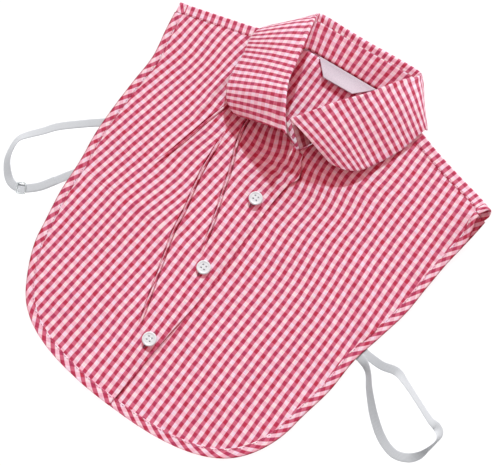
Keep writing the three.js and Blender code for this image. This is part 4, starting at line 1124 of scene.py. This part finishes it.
def button_points(middle):
    """Rings from the middle of the top, over the rim and back to the middle of the underside."""
    ring = np.concatenate([np.linspace(0.02, 4.1, 30), np.linspace(4.2, 5.45, 8)])
    outer_turn = np.radians(np.linspace(65, -80, 9))
    wall_r = 5.15 + 0.5 * np.cos(outer_turn)
    wall_z = 1.25 + 0.85 * np.sin(outer_turn)
    angle = circle(72)
    r, a = np.meshgrid(ring, angle, indexing="ij")
    x, y = r * np.cos(a), r * np.sin(a)
    rim = bump(r - 4.75, 0.62)
    top = BUTTON_THICK - 0.45 + 0.3 * rim + 0.1 * (1 - rim) * ease((r - 3.9) / 0.5)
    top = top - 0.3 * ease((r - 5.2) / 0.4)
    for hole_x in (-HOLE_HALF, HOLE_HALF):
        for hole_y in (-HOLE_HALF, HOLE_HALF):
            top = top - 1.1 * ease((0.85 - np.hypot(x - hole_x, y - hole_y)) / 0.45)
    upper = np.stack([x, y, top], -1)
    return np.concatenate([upper, rings(wall_r, wall_z, angle), rings([4.2, 0.02], [0, 0], angle)]) + middle


def bar_points(start, end, radius, around=10, along=7):
    """A short round bar: circles along a line, drawn in at both ends as on a ball."""
    way = unit(end - start)
    side = unit(np.cross(way, [0.01, 0.02, 1.0]))
    lift = np.cross(side, way)
    turn = circle(around)
    t = np.linspace(0, 1, along)
    r = radius * np.sqrt(np.clip(1 - (2 * t - 1) ** 6, 0.02, 1))
    ring = np.cos(turn)[:, None] * side + np.sin(turn)[:, None] * lift
    return start + t[:, None, None] * (end - start) + r[:, None, None] * ring


buttons, button_threads = [], []
for index in range(3):
    bottom = solid_box(f"button_{index + 1}")[0][2]
    middle = np.array([0, -FIRST_BUTTON - BUTTON_SPACING * index, bottom])
    buttons.append(swept_piece(f"button_{index + 1}_disc", button_points(middle)[::-1], pearl))
    for number, x in enumerate((-HOLE_HALF, HOLE_HALF)):
        bar = bar_points(middle + [x, -HOLE_HALF - 0.2, 1.5], middle + [x, HOLE_HALF + 0.2, 1.5], 0.34)
        button_threads.append(swept_piece(f"button_{index + 1}_thread_{number + 1}", bar, grey_thread))
print("buttons:", len(buttons), "threads:", len(button_threads))

# %% [markdown]
# At each side hangs a loop of white elastic that goes round the arm or the waist. A loop is a flat rounded
# section carried along a run. The run is a table in millimetres: its place, how many degrees the band rolls
# on to its edge, and how high it lies. Both ends go in between the back and the front.

# %% Elastic loops
STRAP_WIDE, STRAP_THICK, TAIL_STEP = 6.9, 0.9, 1.2
RIGHT_RUN = np.array([
    [-131, -66, 0, 1.5], [-141, -74, 0, 1.5], [-152, -83, 4, 0.5], [-167, -97, 8, 0.1],
    [-175, -108, 14, 0.1], [-182, -117, 20, 0.1], [-186, -124, 30, 0.1], [-186, -132, 36, 0.1],
    [-183, -142, 30, 0.1], [-178, -149, 20, 0.1], [-171, -155, 6, 0.1], [-164, -157, 4, 0.3],
    [-157, -155, 0, 0.4], [-147, -146, 0, 0.6], [-140, -135, 0, 1.0], [-134, -125, 0, 1.5],
    [-128, -116, 0, 1.5]], float)
LEFT_RUN = np.array([
    [126, -99, 0, 1.9], [139, -100, 0, 1.9], [154, -100, 8, 0.4], [166, -97, 0, 0.2],
    [176, -100, -34, 0.1], [191, -106, -42, 0.1], [206, -112, -34, 0.1], [213, -113, -4, 0.3],
    [217, -116, -20, 0.1], [218, -122, -62, 0.1], [216, -131, -54, 0.1], [213, -139, -24, 0.1],
    [207, -145, -4, 0.1], [197, -148, -4, 0.1], [184, -144, -10, 0.1], [170, -134, -30, 0.1],
    [157, -121, -52, 0.1], [148, -110, -58, 0.1], [138, -105, -12, 1.1], [126, -105, 0, 1.1]], float)


def strap_middle(run, at):
    """Middle line of a loop and its roll at each place of its run."""
    places = np.linspace(0, 1, len(run))
    x, y, roll, lift = (follow(places, run[:, column], at) for column in range(4))
    roll = np.radians(roll)
    rest = STRAP_WIDE / 2 * abs(np.sin(roll)) + STRAP_THICK / 2 * np.cos(roll)
    return np.stack([x, y, rest + np.maximum(lift, 0)], -1), roll


def strap(name, run, start, end, count, lift=0.0):
    """A flat section with rounded edges carried along the run, turned by its roll; middle and length too."""
    at = np.linspace(start, end, count)
    middle, roll = strap_middle(run, at)
    ahead, _ = strap_middle(run, np.minimum(at + NUDGE, 1))
    behind, _ = strap_middle(run, np.maximum(at - NUDGE, 0))
    along = ahead - behind
    flat = unit(np.stack([-along[:, 1], along[:, 0], 0 * along[:, 0]], -1))
    wide = flat * np.cos(roll)[:, None] + np.array([0, 0, 1]) * np.sin(roll)[:, None]
    thick = unit(np.cross(along, wide))
    turn = circle(28) + np.pi / 28
    a = signed_power(np.cos(turn), 0.45) * STRAP_WIDE / 2
    b = signed_power(np.sin(turn), 0.6) * STRAP_THICK / 2
    grid = middle[:, None] + wide[:, None] * a[:, None] + thick[:, None] * b[:, None] + [0, 0, lift]
    length = run_along(middle)
    cloth = np.stack([np.repeat(length[:, None], len(turn), 1), np.repeat(a[None, :], count, 0)], -1)
    return swept_piece(name, grid, elastic, cloth), middle, length[-1]


SLIDER_AT = 0.745
strap_right, right_middle, right_length = strap("strap_right_elastic", RIGHT_RUN, 0, 1, 280)
strap_left, left_middle, left_length = strap("strap_left_elastic", LEFT_RUN, 0, 1, 340)
tail, _, tail_length = strap("strap_right_tail_elastic", RIGHT_RUN, 0.77, 0.88, 60, TAIL_STEP)
print("loop lengths in mm:", round(right_length), round(left_length), "tail", round(tail_length))

# %% [markdown]
# The right loop is shortened by a small clear slider: a frame round the strap, with a bar that the strap
# passes over.

# %% Slider
SLIDER_LONG = 9.0
slider_top = solid_box("strap_slider")[1][2]
seat, _ = strap_middle(RIGHT_RUN, np.array([SLIDER_AT, SLIDER_AT + 0.01]))
slider_turn = np.arctan2(seat[1, 1] - seat[0, 1], seat[1, 0] - seat[0, 0])


def slider_grid():
    """A rounded section carried round a rectangle with round corners."""
    long, wide = SLIDER_LONG / 2 - 1.0, STRAP_WIDE / 2 + 1.0
    turn, ring = circle(96), circle(14)
    path = np.stack([signed_power(np.cos(turn), 0.35) * long, signed_power(np.sin(turn), 0.35) * wide], -1)
    away = unit(np.stack([np.cos(turn) * wide, np.sin(turn) * long], -1))
    out, high = 0.6 * np.cos(ring), 0.75 * np.sin(ring)
    plan = path[:, None] + away[:, None] * out[None, :, None]
    return at_height(plan, np.broadcast_to(slider_top - 0.8 + high, plan.shape[:2]))


def turned(points, angle, move):
    """Points turned about the vertical and moved."""
    x = points[..., 0] * np.cos(angle) - points[..., 1] * np.sin(angle) + move[0]
    y = points[..., 0] * np.sin(angle) + points[..., 1] * np.cos(angle) + move[1]
    return np.stack([x, y, points[..., 2]], -1)


slider = swept_piece("strap_slider_frame", turned(slider_grid(), slider_turn, seat[0]), clear, closed=True)
half_bar = STRAP_WIDE / 2 + 0.9
bar = bar_points(np.array([0, -half_bar, 0.42]), np.array([0, half_bar, 0.42]), 0.4, 12, 12)
slider_bar = swept_piece("strap_slider_bar", turned(bar, slider_turn, seat[0]), clear)
print("slider:", slider.name, slider_bar.name)

# %% [markdown]
# The label is a blank tag of satin tape, folded and sewn into the seam at the back of the neck. Its lower
# corners are folded in, which makes it narrower at the bottom, and its lower edge stands a little off the
# cloth.

# %% Label
LABEL_WIDE, LABEL_TALL, LABEL_MITRE, LABEL_SHIFT, LABEL_CURL = 55.0, 15.0, 14.0, -2.5, 2.2
down = np.linspace(0, 1, 22)[None, :]
share = np.linspace(0, 1, 60)[:, None]
half = LABEL_WIDE / 2 - LABEL_MITRE * down
label_x = LABEL_SHIFT + half * (2 * share - 1)
seam_start, seam_stop = neck_plan(NECK_BACK)
seam_way = seam_stop - seam_start
seam_y = seam_start[1] + (label_x - seam_start[0]) / seam_way[0] * seam_way[1]
label_y = seam_y - STAND_THICK / 2 - 0.2 - LABEL_TALL * down
label_z = back_level(label_x, label_y) + CLOTH + GAP + 0.2 + LABEL_CURL * down**2 + 1.0
label_z += 0.25 * np.sin(label_x / 6) * down
label_grid = np.stack([label_x, label_y, label_z], -1)
label = sheet_piece("neck_label_tape", label_grid, satin, label_grid[..., :2], 0.7)
print("label:", label_grid.shape[:2])

# %% [markdown]
# Thread shows wherever cloth is sewn down. Each stitch is a tiny rounded bar that lies along its seam. All
# the stitches of a seam are one mesh: the bar's points are worked out for every stitch at once. The seam
# itself is a line of points just above the cloth, read from the same functions as the cloth.

# %% Stitches
STITCH_RINGS, STITCH_SIDES = 5, 6
SEAM_STOP, SEAM_OVER = 1.93, 1.12


def stitch_row(name, seam_line, material, pace=2.6, length=1.7, radius=0.2):
    """Bars along a line, one each pace: their middle lines follow the seam, and their ends dip."""
    run = run_along(seam_line)
    starts = np.arange(pace / 2, run[-1] - length, pace)
    along, around = np.linspace(0, 1, STITCH_RINGS), circle(STITCH_SIDES)
    at = starts[:, None] + along[None, :] * length
    middle = np.stack([np.interp(at, run, seam_line[:, axis]) for axis in range(3)], -1)
    middle[..., 2] -= radius * (2 * along - 1) ** 4
    way = unit(middle[:, -1:] - middle[:, :1])
    flat = unit(np.cross(way, np.array([0.0, 0.0, 1.0]) + 0 * way))
    lift = np.cross(flat, way)
    size = radius * np.sqrt(np.clip(1 - (2 * along - 1) ** 4, 0.06, 1))[None, :, None, None]
    ring = np.cos(around)[:, None] * flat[:, :, None] + np.sin(around)[:, None] * lift[:, :, None]
    points = middle[:, :, None] + size * ring
    one = np.arange(STITCH_RINGS * STITCH_SIDES).reshape(STITCH_RINGS, STITCH_SIDES)
    faces = np.concatenate([quads(np.concatenate([one, one[:, :1]], 1)), cap(one[0])[:, ::-1], cap(one[-1])])
    faces = (faces[None] + one.size * np.arange(len(starts))[:, None, None]).reshape(-1, 4)
    piece = mesh_piece(name, points.reshape(-1, 3), faces, material)
    return piece


def binding_seam(side, start):
    """A line on top of a binding, just outside its inner edge."""
    plan = rim_point(side, np.linspace(start, SEAM_STOP, 900), BINDING_WIDE - 1.0)
    return at_height(plan, front_level(side, plan[:, 0], plan[:, 1]) + SEAM_OVER * BINDING_THICK)


def band_seam(side):
    """A line on top of a shoulder band, just inside its front edge."""
    share = np.linspace(0.04, 0.9, 200)
    plan = shoulder_point(side, share, np.full_like(share, BAND_WIDE - 1.3))
    return at_height(plan, front_level(side, plan[:, 0], plan[:, 1]) + CLOTH + 0.08)


right_seam = binding_seam(-1, -place_at(1, 4.5))
left_seam = binding_seam(1, -place_at(-1, 4.0))
seam_at = np.linspace(0.06, 0.94, 400)
inner_line = leaf_surface(seam_at, np.array([0.03]))[:, 0]
towards_neck = -outwards(fold_plan, seam_at)
inner_line = inner_line + unit(at_height(towards_neck * 0.7, np.full(400, 0.25))) * 0.78
label_line = np.stack([label_x[3:-3, 1], label_y[3:-3, 1] - 1.3, label_z[3:-3, 1] + 0.1], -1)
stitched = [
    stitch_row("front_right_binding_stitches", right_seam, pink_thread_and_shade),
    stitch_row("front_left_binding_stitches", open_tip(left_seam), pink_thread_and_shade),
    stitch_row("shoulder_band_right_stitches", band_seam(-1), pink_thread_and_shade),
    stitch_row("shoulder_band_left_stitches", open_tip(band_seam(1)), pink_thread_and_shade),
    stitch_row("collar_seam_stitches", inner_line, pink_thread_and_shade),
    stitch_row("neck_label_stitches", label_line, thread),
]
print("stitched seams:", [piece.name for piece in stitched])

# %% [markdown]
# Each button sits in a buttonhole that runs along the placket and is a little longer than the button. Its
# slit is edged with close stitches, which here are a ribbed cord carried round a long loop.

# %% Buttonholes
HOLE_LONG, HOLE_WIDE = 14.6, 1.5


def buttonhole(index):
    """A ring carried round a stadium-shaped loop; its thickness swells and shrinks with every stitch."""
    turn, ring = circle(240), circle(8)
    x = signed_power(np.cos(turn), 0.8) * HOLE_WIDE / 2
    y = signed_power(np.sin(turn), 0.45) * HOLE_LONG / 2
    y = y - FIRST_BUTTON - BUTTON_SPACING * index - 0.7
    away = unit(np.stack([np.cos(turn) * HOLE_LONG, np.sin(turn) * HOLE_WIDE], -1))
    size = 0.42 + 0.07 * np.sin(turn * 40)
    plan = np.stack([x, y], -1)[:, None] + away[:, None] * (size[:, None] * np.cos(ring))[..., None]
    level = front_level(-1, plan[..., 0], plan[..., 1]) + SHEET + soft_waves(plan[..., 0], plan[..., 1])
    z = level + size[:, None] * 0.6 * np.sin(ring) + 0.1
    return swept_piece(f"buttonhole_{index + 1}", at_height(plan, z), pink_thread_and_shade, closed=True)


buttonholes = [buttonhole(index) for index in range(3)]
print("buttonholes:", len(buttonholes))

# %% [markdown]
# The tables pair each new piece with the solid it stands for, the trim with a finish of the record and
# the cloth with how large it was cut. Each of those solids is hidden.

# %% Pieces and their solids
CUTS = [
    (back, "back_panel", (0.296, 0.30), 0.0772, "laid", ["floor"], [back_binding]),
    (front_right, "front_right_panel", (0.165, 0.30), 0.0380, "laid", ["back_cloth"],
     [right_binding, stitched[0], *buttonholes]),
    (front_left, "front_left_panel", (0.175, 0.30), 0.0407, "laid", ["back_cloth"],
     [left_binding, stitched[1]]),
    (band_right, "shoulder_band_right", (0.024, 0.112), 0.0022, "folded", ["back_cloth"],
     [tip_right, stitched[2]]),
    (band_left, "shoulder_band_left", (0.030, 0.115), 0.0026, "folded", ["back_cloth"],
     [tip_left, stitched[3]]),
    (stand, "collar_stand", (0.026, 0.31), 0.0066, "stretched", ["back_cloth"], [stitched[4]]),
    (leaf, "collar_leaf", (0.060, 0.42), 0.0186, "folded", ["collar_stand_cloth"], []),
]
EDGES = [
    (right_binding, "front_right_binding"), (left_binding, "front_left_binding"),
    (back_binding, "back_binding"),
]
TRIM = [
    (strap_right, "strap_right", "elastic"), (strap_left, "strap_left", "elastic"),
    (tail, "strap_right_tail", "elastic"), (slider, "strap_slider", "clear_plastic"),
    (label, "neck_label", "label_tape"),
]
for piece, node, flat, area, held, rests, pieces in CUTS:
    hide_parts(node)
for piece, node in EDGES:
    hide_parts(node)
for piece, node, slot in TRIM:
    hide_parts(node)
for index, piece in enumerate(buttons):
    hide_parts(f"button_{index + 1}")
print("solids replaced:", len(CUTS) + len(EDGES) + len(TRIM) + len(buttons))

# %% [markdown]
# The photograph has a plain white ground and soft light from above its top edge, a little from the right. A
# small bright lamp gives the collar its shadow, and a large pale sky fills the shade. One lamp for
# everything can't give cloth, collar, trim and ground the brightness that each has in the photograph, so
# each has its own, linked to its pieces alone. A fill from the side lights the steep faces of the collar,
# and a dim red glow stands for the light that the cloth throws on itself. The ground is pure white without
# a shadow, so its lamp casts none.

# %% Floor and light
FLOOR_HALF, FLOOR_POINTS, FLOOR_DROP = 1500, 9, 0.05
white_board = speckled_material("white board", (250, 250, 250), (254, 254, 254), 6.0, 0.9, 0.00001)
spot = np.linspace(-FLOOR_HALF, FLOOR_HALF, FLOOR_POINTS)
floor_x, floor_y = np.meshgrid(spot, spot, indexing="ij")
floor_points = np.stack([floor_x, floor_y, np.full_like(floor_x, -FLOOR_DROP)], -1).reshape(-1, 3)
floor_faces = quads(np.arange(FLOOR_POINTS**2).reshape(FLOOR_POINTS, FLOOR_POINTS))
floor_mesh = bpy.data.meshes.new("floor")
floor_mesh.from_pydata(metres(floor_points).tolist(), [], floor_faces.tolist())
floor_mesh.materials.append(white_board)
floor = bpy.data.objects.new("floor", floor_mesh)
scene.collection.objects.link(floor)


def receivers(name, pieces):
    """A collection that names which pieces a lamp lights."""
    group = bpy.data.collections.new(name)
    for piece in pieces:
        group.objects.link(piece)
    return group


def sun(name, rise, way, angle, colour_of_light, energy, lit, shadow=True):
    """A lamp at infinity: its height, direction and apparent size in degrees, and the pieces it lights."""
    rise, way = np.radians(rise), np.radians(way)
    towards = Vector((-np.sin(way) * np.cos(rise), np.cos(way) * np.cos(rise), np.sin(rise)))
    lamp = bpy.data.objects.new(name, bpy.data.lights.new(name, "SUN"))
    lamp.rotation_euler = towards.to_track_quat("Z", "Y").to_euler()
    lamp.data.angle, lamp.data.energy, lamp.data.color = np.radians(angle), energy, colour_of_light
    lamp.data.use_shadow = shadow
    lamp.light_linking.receiver_collection = lit
    scene.collection.objects.link(lamp)


meshes = [piece for piece in scene.objects if piece.type == "MESH"]
checked_pieces = [piece for piece in meshes if gingham.name in piece.data.materials]
plain_pieces = [piece for piece in meshes if piece not in checked_pieces and piece is not floor]
on_checks, on_collar = receivers("lit checks", checked_pieces), receivers("lit collar", [stand, leaf])
on_cloth = receivers("lit cloth", [piece for piece in checked_pieces if piece not in (stand, leaf)])
on_trim, on_floor = receivers("lit trim", plain_pieces), receivers("lit floor", [floor])
COOL, WHITE, RED = (0.56, 1.0, 0.98), (1.0, 1.0, 1.0), (1.0, 0.04, 0.08)
KEY_RISE, KEY_WAY, KEY_SIZE, SKY = 39, 25, 2.0, 0.36
sun("key on cloth", KEY_RISE, KEY_WAY, KEY_SIZE, COOL, 3.25, on_cloth)
sun("key on collar", KEY_RISE, KEY_WAY, KEY_SIZE, COOL, 2.85, on_collar)
sun("fill on collar", 25, -90, 20, COOL, 1.1, on_collar)
sun("key on trim", KEY_RISE, KEY_WAY, KEY_SIZE, WHITE, 2.9, on_trim)
sun("glow of the cloth", 85, KEY_WAY, 150, RED, 0.95, on_checks)
sun("floor light", 80, KEY_WAY, 60, WHITE, 2.35, on_floor, shadow=False)

world = bpy.data.worlds.new("soft sky")
world.use_nodes = True
background = world.node_tree.nodes["Background"]
background.inputs["Color"].default_value = (*WHITE, 1.0)
background.inputs["Strength"].default_value = SKY
scene.world = world
